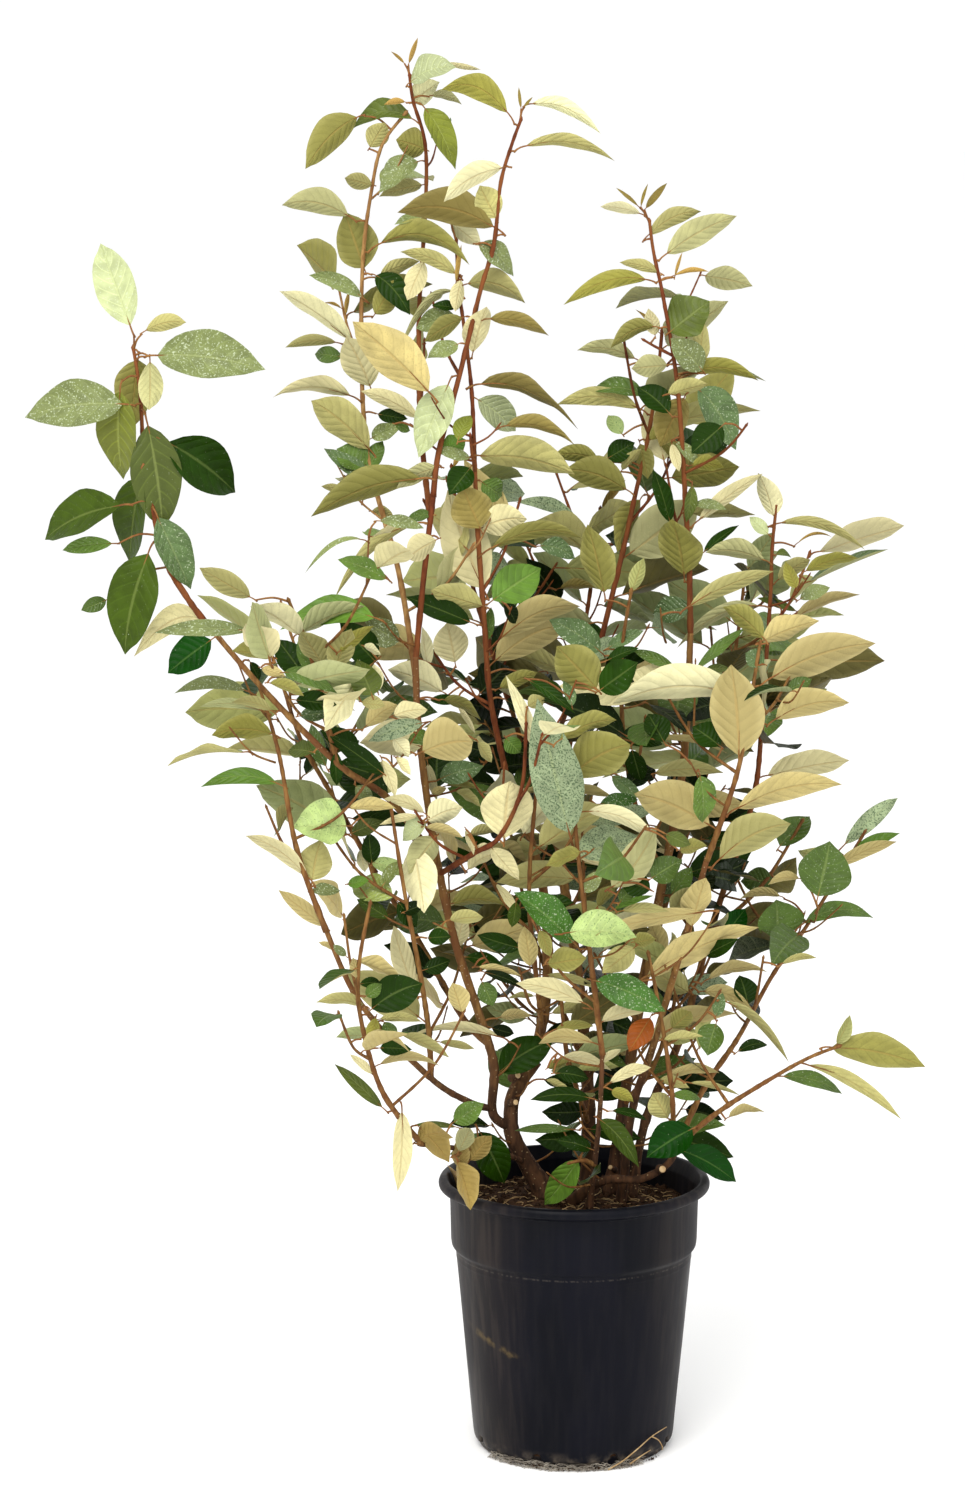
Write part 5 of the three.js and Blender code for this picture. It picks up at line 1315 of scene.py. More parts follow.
BLADE_STATIONS = 13
STATION_SPACING = 0.94
BLADE_COLUMNS = (-0.55, 0, 0.55)
BLADE_THICKNESS = 0.25
DRAWN_START = 0.115
DRAWN_SWELL = (0.9, 0.78)
POINT_LENGTH = 0.16
POINT_LOSS = 0.42
FOLD_BOW = 1.2
EDGE_WAVES = 2.1
RIB_ABOVE = 0.25
RIB_BELOW = 0.9
TWIST = 0.5
BEND = 0.1
WAVE = (0.04, 0.11)
CURL = (-0.3, 1.6)
FOLD = (0.12, 0.42)
TILES_IN_ROW = 32
STALK_SIDES = 5
LINE_RADIUS = (1.15, 0.85)
STALK_PLACES = np.array([0.0, 0.03, 0.065, 0.1, 0.135, 0.24, 0.36])
STALK_RISES = np.array([-1.5, 0.4, 1.1, 0.7, -0.15, -0.55, -0.5])
STALK_RADII = np.array([1.2, 0.95, 0.85, 0.8, 0.72, 0.5, 0.2])


class BladeGrid:
    """The points and faces that every blade shares: base, tip, both rims, then the inside of each side."""

    def __init__(self):
        inner = BLADE_STATIONS - 1
        far = (np.arange(1, BLADE_STATIONS) / BLADE_STATIONS) ** STATION_SPACING
        columns = [(-1, 0), (1, 0)] + [(s, side) for side in (1, -1) for s in BLADE_COLUMNS]
        t = BLADE_START + (1 - BLADE_START) * far
        self.t = np.concatenate([[BLADE_START, 1], np.tile(t, len(columns))])
        self.s = np.concatenate([[0, 0], np.repeat([s for s, _ in columns], inner)])
        self.side = np.concatenate([[0, 0], np.repeat([side for _, side in columns], inner)])
        self.rims = self.side == 0
        tris = []
        for k in range(2):
            starts = [2 + inner * column for column in (0, 2 + 3 * k, 3 + 3 * k, 4 + 3 * k, 1)]
            for a, b in zip(starts, starts[1:]):
                strip = [[0, a, b], [a + inner - 1, 1, b + inner - 1]]
                for i in range(inner - 1):
                    strip += [[a + i, a + i + 1, b + i + 1], [a + i, b + i + 1, b + i]]
                tris += [tri[::-1] for tri in strip] if k else strip
        self.tris = np.array(tris)
        self.faces = np.repeat([0, 1], len(tris) // 2)


def each(leaves, name):
    """One value of every leaf, set to meet the points of the grid."""
    return np.array([getattr(leaf, name) for leaf in leaves])[:, None]


def blade_points(grid, leaves):
    """The points of many blades: folded at the rib, drooping, with a wavy edge and a light twist."""
    s = grid.s[None]
    length = each(leaves, "length")
    half = each(leaves, "half")
    twist, bend, wave, phase, curl, fold = np.moveaxis(each(leaves, "moods"), -1, 0)
    far = np.clip((grid.t[None] - BLADE_START) / (1 - BLADE_START), 0, 1)
    t = DRAWN_START + (1 - DRAWN_START) * far
    point = np.clip((far - (1 - POINT_LENGTH)) / POINT_LENGTH, 0, 1)
    swell = np.sin(np.pi * far ** DRAWN_SWELL[0]) ** DRAWN_SWELL[1]
    wide = swell * (1 - POINT_LOSS * point * point * (3 - 2 * point)) * half
    rise = fold * np.abs(s) ** FOLD_BOW * wide - BLADE_DROOP * length * t * t * (1 + curl * t)
    ripple = np.sin(2 * np.pi * EDGE_WAVES * t + phase + s)
    ripple = wave * half * np.abs(s) ** 2 * ripple * np.sin(np.pi * far)
    rib = (grid.s == 0) * (grid.side != 0) * np.where(grid.side < 0, RIB_BELOW, RIB_ABOVE) * (1 - far)
    lift = rise + ripple + BLADE_THICKNESS * grid.side - rib
    turn = twist * far
    across = s * wide
    aside = across * np.cos(turn) + bend * length * t * t
    above = lift + across * np.sin(turn)
    ahead = (t * length)[..., None] * each(leaves, "along")
    ahead = ahead + (4 * t * (1 - t))[..., None] * each(leaves, "arch")
    sideways = aside[..., None] * each(leaves, "across")
    return each(leaves, "base") + ahead + sideways + above[..., None] * each(leaves, "face")


def leaf_piece(name, leaves, materials, grid):
    """Many leaves of one kind as one piece. Each leaf has a tile of the UV map to itself."""
    points = blade_points(grid, leaves)
    count, size, _ = points.shape
    tile = np.arange(count)[:, None]
    tris = (grid.tris[None] + tile[..., None] * size).reshape(-1, 3)
    u = 0.02 + 0.96 * grid.t[None] + tile % TILES_IN_ROW
    v = 0.5 + 0.46 * grid.s[None] + tile // TILES_IN_ROW
    uv = np.stack([u, v], axis=-1).reshape(-1, 2)
    kinds = np.tile(grid.faces, count)
    rims = np.tile(grid.rims, count)
    return build_piece(name, points.reshape(-1, 3), (tris,), materials, kinds, uv, rims)


def give_moods(leaves):
    """Gives each leaf its moods, the same each time."""
    for i, leaf in enumerate(leaves):
        leaf.moods = (
            spread(i, 1, 51, TWIST),
            spread(i, 2, 52, BEND),
            WAVE[0] + WAVE[1] * chance(i, 3, 53),
            2 * math.pi * chance(i, 4, 54),
            CURL[0] + CURL[1] * chance(i, 5, 55) ** 2,
            FOLD[0] + FOLD[1] * chance(i, 6, 56),
        )


def make_leaves(leaves, materials):
    """One piece for each kind of leaf, cut up where it would have too many triangles."""
    grid = BladeGrid()
    most = MOST_TRIANGLES // len(grid.tris)
    pieces = []
    for kind in LEAF_KINDS:
        some = [leaf for leaf in leaves if leaf.kind == kind]
        for part, first in enumerate(range(0, len(some), most)):
            name = f"leaves_{kind}" if part == 0 else f"leaves_{kind}_{part + 1}"
            pieces.append(leaf_piece(name, some[first:first + most], materials[kind], grid))
    return pieces


def make_stalks(leaves, lines, material):
    """The arched stalk of every leaf, which runs on as its rib, and longer stalks along lines."""
    heap = Heap()
    for line in lines:
        heap.add(*taper_shape(line, LINE_RADIUS, STALK_SIDES))
    t = STALK_PLACES
    for leaf in leaves:
        size = leaf.length / LEAF_LENGTH
        rise = -BLADE_DROOP * leaf.length * t * t + STALK_RISES * size
        points = leaf.base + np.outer(t * leaf.length, leaf.along) + np.outer(rise, leaf.face)
        points = points + np.outer(4 * t * (1 - t), leaf.arch)
        heap.add(*tube_shape(points, STALK_RADII * (0.4 + 0.6 * size), STALK_SIDES))
    return heap.piece("leaf_stalks", material, "foliage")


# Wood

KNOB = 0.16
KNOB_RARE = 0.72
BUD_PLACES = (2.2, 5.0)
BUD_SWELL = 1.25
BUD_TIP = 0.3
LIMB_STEP = 3.2
LIMB_TWIST = 0.2
FLUTE_HEIGHT = 18
LIMB_SUNK = 1.5


def make_shoots(shoots, name, wood, material):
    """The stems and twigs of one wood, with small knobs here and there and a bud at the tip."""
    heap = Heap()
    for i, shoot in enumerate(shoots):
        if shoot.wood != wood:
            continue
        points = shoot.points
        count = len(points)
        knobs = np.array([1 + KNOB * (chance(i, k, 61) > KNOB_RARE) for k in range(count)])
        radii = np.linspace(*shoot.radius, count) * knobs
        bud = unit(points[-1] - points[-2])
        points = np.vstack([points, *(points[-1] + bud * place for place in BUD_PLACES)])
        radii = np.concatenate([radii, [radii[-1] * BUD_SWELL, BUD_TIP]])
        heap.add(*tube_shape(points, radii, 7 if shoot.radius[0] > 2 else 5))
    return heap.piece(name, material, "bark")


def make_limb(name, limb, material):
    """A trunk or bough with the relief of its bark: long ridges, knobs and a fluted flare."""
    sides = 16 if limb["radius"][0] > 4 else 12
    points = smooth(limb["route"], LIMB_STEP)
    count = len(points)
    _, length = measure(points)
    t = np.linspace(0, 1, count)
    seed = len(name) * 7.3

    def relief(i, turns, radius):
        far = t[i] * length
        out = np.empty(sides)
        for k, turn in enumerate(turns):
            x = math.cos(turn)
            y = math.sin(turn)
            ridge = noise_at(x * 1.7, y * 1.7, far * 0.045 + seed) * 0.09
            grain = noise_at(x * 4, y * 4, far * 0.16 + seed) * 0.06
            flute = 0.16 * math.cos(3 * turn + seed) * math.exp(-far / FLUTE_HEIGHT) * (limb["flare"] > 0)
            out[k] = radius * (1 + ridge + grain + flute)
        knob = noise_at(far * 0.11, seed, 3.1)
        return out * (1 + KNOB * max(knob - 0.25, 0) / 0.4)

    surface, *faces = tube_shape(points, limb_radii(limb, count, length), sides, LIMB_TWIST, relief)
    if limb["flare"]:
        surface[:sides, 2] = SOIL_TOP - LIMB_SUNK
    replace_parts(build_piece(f"bark_{name}", surface, faces, [material]), name)


# Pot and soil

POT_SIDES = 192
BODY_TOP = 195
CORNER = 1.6
DRAIN_SLOTS = 8
DRAIN_HALF_TURN = 0.06
DRAIN_RISE = 7.5
WALL_SWAY = 0.0022
SOIL_SIDES = 150
SOIL_RINGS = 46
SOIL_GAP = 0.6
CRUMBS = 1150
FOOT_CRUMBS = 150
FIBRES = 190
FLUFFS = 420
CRUMB_REACH = 112
FIBRE_REACH = 108
LOOSE_REACH = 113
ROOT_LOOPS = (
    ((-12, 40, 237), (-6, 42, 246), (2, 46, 248), (7, 48, 243), (5, 50, 237)),
    ((0, 30, 237), (8, 34, 243), (14, 40, 243), (16, 46, 237)),
    ((-112, 22, 236), (-100, 26, 243), (-88, 36, 244), (-78, 44, 238)),
)
STRAWS = (
    ((31, -92, 1), (45, -87.5, 8), (60, -80, 18), (73, -69, 26), (88, -49, 29)),
    ((73, -69, 26), (80, -62, 20), (84, -60, 12), (83, -58, 9)),
    ((52, -87, 5), (62, -80, 10), (72, -70, 13)),
)
STUBS = (
    ((-60, 8, 357), (-54, -2, 362), 3.6),
    ((-61, 6, 333), (-56, -4, 336), 3.2),
    ((80, -48, 282), (82, -60, 285), 3.9),
    ((40, 26, 262), (35, 12, 268), 2.6),
)


def rounded(profile, size):
    """A profile with each inner corner turned into a small arc."""
    points = [np.array(p, float) for p in profile]
    out = [points[0]]
    for before, corner, after in zip(points, points[1:], points[2:]):
        back = corner + (before - corner) * min(size / np.linalg.norm(before - corner), 0.45)
        ahead = corner + (after - corner) * min(size / np.linalg.norm(after - corner), 0.45)
        for t in (0, 0.33, 0.67, 1):
            out.append(back * (1 - t) ** 2 + corner * 2 * t * (1 - t) + ahead * t * t)
    out.append(points[-1])
    return np.array(out)


def turned_shape(profile, sides):
    """A closed shape turned about the upright axis, from a profile that starts and ends on the axis."""
    turns = 2 * np.pi * np.arange(sides) / sides
    inner = profile[1:-1]
    rings = [np.column_stack([np.cos(turns) * r, np.sin(turns) * r, np.full(sides, z)]) for r, z in inner]
    ends = [(0, 0, profile[0][1]), (0, 0, profile[-1][1])]
    return np.vstack([*rings, ends]), *ring_faces(len(inner), sides)


def wall_radius(z, top=BODY_TOP):
    """Radius of the wall's outer face at a height."""
    return between((BODY_FOOT_RADIUS, BODY_TOP_RADIUS), (z - WALL_LIFT) / (top - WALL_LIFT))


def inner_radius(z):
    """Radius of the wall's inner face at a height."""
    if z >= BAND_FOOT:
        return BAND_FOOT_RADIUS - WALL
    return wall_radius(z, BAND_FOOT) - WALL


def make_pot(material):
    """The pot with a rounded lip, a stacking band, a moulding seam under it and drain slots in its foot."""
    floor = WALL_LIFT + 3.5
    outside = [
        (0, 0), (FOOT_RADIUS - 6, 0), (FOOT_RADIUS, 1), (FOOT_RADIUS + 0.5, WALL_LIFT),
        (wall_radius(WALL_LIFT) - 0.6, WALL_LIFT - 0.4),
        *((wall_radius(z), z) for z in (14, 30, 60, 100, 150, 184)),
        (wall_radius(186) + 0.2, 185.6), (wall_radius(188), 187.4), (wall_radius(193.5), 193.5),
        (BAND_FOOT_RADIUS - 0.4, BAND_FOOT + 0.5), (BAND_FOOT_RADIUS + 0.3, BAND_FOOT + 6),
        (BAND_TOP_RADIUS - 0.4, 236), (BAND_TOP_RADIUS + 0.4, LIP_FOOT - 2),
        (RIM_RADIUS - 6, LIP_FOOT - 0.6), (RIM_RADIUS - 0.6, LIP_FOOT + 2.2),
        (RIM_RADIUS, LIP_FOOT + 6), (RIM_RADIUS - 1.8, POT_HEIGHT - 1), (RIM_RADIUS - 6, POT_HEIGHT),
        (BAND_TOP_RADIUS + 2.4, POT_HEIGHT - 0.7),
    ]
    inside = [
        (BAND_TOP_RADIUS - WALL + 0.6, LIP_FOOT - 2), (inner_radius(BAND_FOOT), BAND_FOOT),
        (inner_radius(180), 180), (inner_radius(floor), floor), (0, floor),
    ]
    points, *faces = turned_shape(rounded(outside + inside, CORNER), POT_SIDES)
    x, y, z = points.T
    turn = np.arctan2(y, x)
    low = (z > 2) & (z < 16) & (np.hypot(x, y) > FOOT_RADIUS + 2)
    off_slot = np.abs(np.angle(np.exp(1j * DRAIN_SLOTS * (turn - np.pi / DRAIN_SLOTS)))) / DRAIN_SLOTS
    slot = np.clip(1 - off_slot / DRAIN_HALF_TURN, 0, 1)
    z += np.where(low, DRAIN_RISE * slot ** 0.3 * np.clip((18 - z) / 10, 0, 1), 0)
    sway = np.array([noise_at(math.cos(a) * 1.1, math.sin(a) * 1.1, up * 0.012) for a, up in zip(turn, z)])
    points[:, :2] *= (1 + WALL_SWAY * sway * (z > 20))[:, None]
    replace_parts(build_piece("pot_shell", points, faces, [material]), "pot")


def soil_height(x, y):
    """Height of the crumbly soil at a place: level in the middle, lower at the wall."""
    edge = max(math.hypot(x, y) - SOIL_LEVEL_RADIUS, 0) / (inner_radius(SOIL_EDGE) - SOIL_LEVEL_RADIUS)
    level = SOIL_TOP - 0.6 + (SOIL_EDGE - SOIL_TOP) * min(edge, 1.0)
    heap = noise_at(x * 0.028, y * 0.028, 1.0) * 3.2
    clods = noise_at(x * 0.11, y * 0.11, 4.0) * 1.8
    crumbs = abs(noise_at(x * 0.34, y * 0.34, 9.0)) * 2.0
    return level + heap + clods + crumbs - 0.8


def make_soil(material):
    """The soil, with crumbs and clods on its top."""
    wide = inner_radius(SOIL_EDGE) - SOIL_GAP
    foot = WALL_LIFT + 4
    profile = [
        (0, foot), (inner_radius(foot) - SOIL_GAP, foot), (inner_radius(180) - SOIL_GAP, 180),
        (wide, BAND_FOOT + 2), *((wide * (1 - k / SOIL_RINGS), SOIL_TOP) for k in range(SOIL_RINGS)),
        (0, SOIL_TOP),
    ]
    points, *faces = turned_shape(np.array(profile, float), SOIL_SIDES)
    for p in points:
        if p[2] == SOIL_TOP:
            p[2] = soil_height(p[0], p[1])
    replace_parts(build_piece("soil_surface", points, faces, [material]), "soil")


GOLD = (1 + 5 ** 0.5) / 2
LUMP_POINTS = np.array([
    (-1, GOLD, 0), (1, GOLD, 0), (-1, -GOLD, 0), (1, -GOLD, 0), (0, -1, GOLD), (0, 1, GOLD),
    (0, -1, -GOLD), (0, 1, -GOLD), (GOLD, 0, -1), (GOLD, 0, 1), (-GOLD, 0, -1), (-GOLD, 0, 1),
]) / 1.9
LUMP_TRIS = np.array([
    (0, 11, 5), (0, 5, 1), (0, 1, 7), (0, 7, 10), (0, 10, 11), (1, 5, 9), (5, 11, 4), (11, 10, 2),
    (10, 7, 6), (7, 1, 8), (3, 9, 4), (3, 4, 2), (3, 2, 6), (3, 6, 8), (3, 8, 9), (4, 9, 5), (2, 4, 11),
    (6, 2, 10), (8, 6, 7), (9, 8, 1),
])


def add_lump(heap, place, size, item):
    """An uneven crumb."""
    shape = np.array([1 + spread(item, k, 71, 0.35) for k in range(12)])[:, None]
    stretch = np.array([1 + spread(item, k, 72, 0.3) for k in range(3)])
    heap.add(LUMP_POINTS * shape * stretch * size + place, None, LUMP_TRIS)


def at_turn(turn, radius):
    return math.cos(turn) * radius, math.sin(turn) * radius


def scattered(i, use, wide):
    """A place on the soil that is as likely as any other."""
    radius = wide * math.sqrt(chance(i, 1, use))
    return at_turn(2 * math.pi * chance(i, 2, use), radius)


def make_crumbs(material):
    """Crumbs of bark and peat on the soil, and dust of it that clings to the foot of the pot."""
    heap = Heap()
    for i in range(CRUMBS):
        x, y = scattered(i, 73, CRUMB_REACH)
        size = 0.7 + 2.6 * chance(i, 3, 73) ** 3
        add_lump(heap, (x, y, soil_height(x, y) + size * 0.25), size, i)
    for i in range(FOOT_CRUMBS):
        turn = -math.pi / 2 + 0.15 + spread(i, 4, 74, 0.85)
        radius = FOOT_RADIUS + 1.5 + 4 * chance(i, 5, 74)
        size = 0.4 + 0.8 * chance(i, 6, 74) ** 2
        place = (*at_turn(turn, radius), size * 1.5 + 3 * chance(i, 7, 74) ** 2)
        add_lump(heap, place, size, i + 2000)
    return heap.piece("soil_crumbs", material, "soil")


def fibre_line(i):
    """A loose arc on the soil, which ends where it would meet the wall."""
    middle = scattered(i, 81, FIBRE_REACH)
    way = 2 * math.pi * chance(i, 3, 81)
    length = 8 + 30 * chance(i, 4, 81) ** 2
    bow = spread(i, 5, 81, 0.5)
    points = []
    for k in range(7):
        s = (k / 6 - 0.5) * length
        aside = bow * length * (0.25 - (k / 6 - 0.5) ** 2) * 2
        x = middle[0] + math.cos(way) * s - math.sin(way) * aside
        y = middle[1] + math.sin(way) * s + math.cos(way) * aside
        if math.hypot(x, y) > LOOSE_REACH:
            break
        points.append((x, y, soil_height(x, y) + 0.7 + 2.2 * math.sin(math.pi * k / 6) * chance(i, 6, 81)))
    return np.array(points)


def make_fibres(material):
    """Root fibres: loose arcs and loops on the soil, and straw that clings to the pot's foot."""
    heap = Heap()
    for i in range(FIBRES):
        points = fibre_line(i)
        if len(points) > 2:
            heap.add(*tube_shape(points, np.full(len(points), 0.2 + 0.35 * chance(i, 7, 81)), 4))
    for loop in ROOT_LOOPS:
        heap.add(*taper_shape(smooth(loop, 1.5), (0.9, 0.6), 6))
    for straw in STRAWS:
        heap.add(*taper_shape(smooth(straw, 2), (0.75, 0.45), 5))
    return heap.piece("root_fibres", material, "soil")


def fluff_line(i):
    """A short fibre at the foot of the pot."""
    turn = -math.pi / 2 - 0.12 + spread(i, 1, 85, 0.85)
    middle = at_turn(turn, FOOT_RADIUS + 2 + 4.5 * chance(i, 2, 85))
    way = turn + math.pi / 2 + spread(i, 3, 85, 0.9)
    length = 3 + 9 * chance(i, 4, 85)
    low = 0.5 + 6.5 * chance(i, 5, 85) ** 1.8
    rise = spread(i, 6, 85, 2.2)
    points = []
    for k in range(5):
        x, y = at_turn(way, (k / 4 - 0.5) * length)
        high = low + rise * (k / 4 - 0.5) + 1.2 * math.sin(math.pi * k / 4)
        points.append((middle[0] + x, middle[1] + y, max(high, 0.4)))
    return np.array(points)


def make_fluff(material):
    """Fine peat fibres that cling to the foot of the pot at the front."""
    heap = Heap()
    for i in range(FLUFFS):
        heap.add(*tube_shape(fluff_line(i), np.full(5, 0.14 + 0.14 * chance(i, 7, 85)), 4))
    return heap.piece("peat_fluff", material, "soil")


def make_stubs(material, cut):
    """Short stubs where twigs were pruned, with a pale cut face."""
    bodies = Heap()
    faces = Heap()
    for place, end, radius in STUBS:
        points = np.linspace(place, end, 5)
        bodies.add(*tube_shape(points, radius * np.array([1.25, 1.1, 1, 1, 0.95]), 12))
        way = unit(points[-1] - points[0])
        face = np.array([points[-1] + way * out for out in (-0.4, 0.1, 0.35)])
        faces.add(*tube_shape(face, radius * np.array([0.85, 0.82, 0.5]), 12))
    bodies.piece("pruned_stubs", material, "bark")
    faces.piece("pruned_faces", cut, "bark")


# Nodes

def linear(colour):
    """A colour as it looks on a screen, from 0 to 255, as the light that it sends back."""
    parts = [part / 255 for part in colour]
    light = [part / 12.92 if part <= 0.04045 else ((part + 0.055) / 1.055) ** 2.4 for part in parts]
    return (*light, 1.0)


def shade(colour, factor):
    """A colour made darker or lighter."""
    return tuple(min(part * factor, 255) for part in colour)


def mixed(a, b, part):
    """A colour part of the way from one to another."""
    return tuple(x + (y - x) * part for x, y in zip(a, b))


class Nodes:
    """Short ways to add nodes to a material or a group."""

    def __init__(self, tree):
        self.tree = tree

    def add(self, kind, sockets=None, **settings):
        """A node with its settings, and its sockets set to values or joined to other nodes' outputs."""
        made = self.tree.nodes.new("ShaderNode" + kind)
        for name, value in settings.items():
            setattr(made, name, value)
        for name, value in (sockets or {}).items():
            if isinstance(value, bpy.types.NodeSocket):
                self.tree.links.new(value, made.inputs[name])
            else:
                made.inputs[name].default_value = value
        return made

    def compute(self, how, *values):
        """One sum or comparison of values and outputs."""
        return self.add("Math", dict(enumerate(values)), operation=how).outputs[0]

    def times(self, a, b):
        return self.compute("MULTIPLY", a, b)

    def minus(self, a, b):
        return self.compute("SUBTRACT", a, b)

    def plus(self, a, b):
        return self.compute("ADD", a, b)

    def off_by(self, value, middle):
        """How far a value is from a middle, either way."""
        return self.compute("ABSOLUTE", self.minus(value, middle))

    def ramp(self, value, low, high):
        """A value turned into a mask that rises smoothly from 0 at low to 1 at high."""
        sockets = {0: value, 1: low, 2: high}
        return self.add("MapRange", sockets, interpolation_type="SMOOTHSTEP").outputs[0]

    def fall(self, value, low, high):
        """A value turned into a mask that falls smoothly from 1 at low to 0 at high."""
        return self.minus(1.0, self.ramp(value, low, high))

    def mix(self, factor, a, b):
        """Two colours mixed by a mask. Each is an output, or a colour as it looks on a screen."""
        a, b = (linear(colour) if isinstance(colour, tuple) else colour for colour in (a, b))
        return self.add("Mix", {0: factor, 6: a, 7: b}, data_type="RGBA", blend_type="MIX").outputs[2]

    def cover(self, body, mask, share, colour):
        """A colour covered with another by a share of a mask."""
        return self.mix(self.times(mask, share), body, colour)

    def vector(self, how, place, *other):
        return self.add("VectorMath", dict(enumerate((place, *other))), operation=how).outputs[0]

    def place(self):
        return self.add("TexCoord").outputs["Object"]

    def noise(self, place, scale, detail):
        return self.add("TexNoise", {"Vector": place, "Scale": scale, "Detail": detail}).outputs[0]

    def use(self, group, **values):
        """A group set to values, as its outputs."""
        made = self.add("Group", node_tree=group)
        for name, value in values.items():
            made.inputs[name].default_value = value
        return made.outputs


class Group(Nodes):
    """A group of nodes with named inputs, which have values, and named outputs."""

    def __init__(self, name, inputs, outputs):
        super().__init__(bpy.data.node_groups.new(name, "ShaderNodeTree"))
        for socket, value in inputs.items():
            made = self.tree.interface.new_socket(socket, in_out="INPUT", socket_type="NodeSocketFloat")
            made.default_value = value
        for socket in outputs:
            self.tree.interface.new_socket(socket, in_out="OUTPUT", socket_type="NodeSocketFloat")
        self.given = self.tree.nodes.new("NodeGroupInput").outputs
        self.results = self.tree.nodes.new("NodeGroupOutput").inputs

    def finish(self, results):
        for name, value in results.items():
            self.tree.links.new(value, self.results[name])
        return self.tree


class Material(Nodes):
    """A material with its shader."""

    def __init__(self, name, roughness, specular=0.5):
        self.material = bpy.data.materials.new(name)
        self.material.use_nodes = True
        super().__init__(self.material.node_tree)
        self.shader = self.tree.nodes["Principled BSDF"]
        self.shader.inputs["Roughness"].default_value = roughness
        self.shader.inputs["Metallic"].default_value = 0.0
        self.shader.inputs["Specular IOR Level"].default_value = specular

    def finish(self, body, height, strength, depth):
        """Joins the colour and the relief to the shader, and gives the material."""
        self.tree.links.new(body, self.shader.inputs["Base Color"])
        bump = self.add("Bump", {"Height": height, "Strength": strength, "Distance": depth})
        self.tree.links.new(bump.outputs[0], self.shader.inputs["Normal"])
        return self.material


def grain_group():
    """Fine grain and broad patches in the object's own space, at two scales."""
    inputs = {"Fine": 400.0, "Broad": 25.0, "Stretch": 1.0}
    group = Group("natural_grain", inputs, ("Grain", "Patches", "Height"))
    place = group.place()
    flat = group.add("CombineXYZ", {"X": 1.0, "Y": 1.0, "Z": group.given["Stretch"]}).outputs[0]
    place = group.vector("MULTIPLY", place, flat)
    fine = group.noise(place, group.given["Fine"], 4.0)
    broad = group.noise(place, group.given["Broad"], 3.0)
    height = group.plus(fine, group.times(broad, 0.6))
    grain = group.ramp(fine, 0.3, 0.7)
    return group.finish({"Grain": grain, "Patches": group.ramp(broad, 0.35, 0.65), "Height": height})


def leaf_group():
    """The rib, veins and panels of a leaf, its rim, patches and silvery scales, and a chance of its own."""
    outputs = ("Rib", "Veins", "Panels", "Rim", "Patches", "Scales", "Chance", "Height")
    group = Group("leaf_pattern", {"Veins": 8.5, "Scales": 0.5}, outputs)
    place = group.add("UVMap", uv_map="UVMap").outputs[0]
    tile = group.vector("FLOOR", place)
    split = group.add("SeparateXYZ", {0: group.vector("FRACTION", place)})
    along = split.outputs[0]
    side = group.minus(split.outputs[1], 0.5)
    aside = group.times(group.compute("ABSOLUTE", side), 2.17)
    half_step = group.times(group.compute("GREATER_THAN", side, 0.0), 0.5)
    slant = group.times(group.compute("POWER", aside, 1.25), 0.2)
    phase = group.times(group.minus(along, slant), group.given["Veins"])
    phase = group.compute("FRACT", group.plus(phase, half_step))
    line = group.times(group.off_by(phase, 0.5), 2.0)
    veins = group.times(group.ramp(line, 0.76, 1.0), group.fall(aside, 0.7, 1.0))
    rib = group.fall(aside, 0.02, 0.09)
    panels = group.minus(1.0, group.compute("POWER", line, 2.0))
    own_chance = group.add("TexWhiteNoise", {"Vector": tile}, noise_dimensions="3D").outputs[0]
    spots = group.place()
    scales = group.noise(spots, 620.0, 3.0)
    blotch = group.noise(spots, 70.0, 2.5)
    low = group.minus(0.72, group.times(group.given["Scales"], 0.4))
    height = group.plus(group.times(panels, 0.55), group.times(scales, 0.25))
    return group.finish({
        "Rib": rib, "Veins": veins, "Panels": panels, "Rim": group.ramp(aside, 0.55, 1.0),
        "Patches": group.ramp(blotch, 0.35, 0.7), "Scales": group.ramp(scales, low, group.plus(low, 0.14)),
        "Chance": own_chance, "Height": group.minus(height, group.times(rib, 0.6)),
    })


# Materials

SHADY_KINDS = ("dark", "glossy", "deep", "fern")
SCALES = {
    "silver": 0.58, "frosted": 0.4, "speckled": 0.36, "sage": 0.4, "pale": 0.35, "lime": 0.4,
    "green": 0.25, "teal": 0.35,
}
FEW_SCALES = 0.1
SCALE_COLOURS = {"silver": (40, 66, 38), "frosted": (62, 92, 52)}
PALE_SCALES = (188, 198, 168)
UPPER_RIB = (180, 188, 124)
UNDER_RIB = (160, 122, 62)
UNDER_RIM = (232, 226, 190)


def leaf_upper(kind, colour, group):
    """The upper face: glossy, with sunk veins, and silvery scales on the young kinds."""
    scaly = SCALES.get(kind, FEW_SCALES)
    specular = 0.08 if kind in SHADY_KINDS else 0.2
    face = Material(f"leaf_{kind}_upper", 0.42 if scaly < 0.5 else 0.6, specular)
    pattern = face.use(group, Scales=scaly)
    body = face.mix(pattern["Chance"], shade(colour, 0.8), shade(colour, 1.18))
    body = face.cover(body, pattern["Patches"], 0.6, shade(colour, 0.78))
    body = face.cover(body, pattern["Veins"], 0.4, shade(colour, 1.2))
    body = face.cover(body, pattern["Rib"], 0.5, mixed(colour, UPPER_RIB, 0.4))
    body = face.cover(body, pattern["Scales"], 0.75, SCALE_COLOURS.get(kind, PALE_SCALES))
    return face.finish(body, pattern["Height"], 0.6, 0.0016)


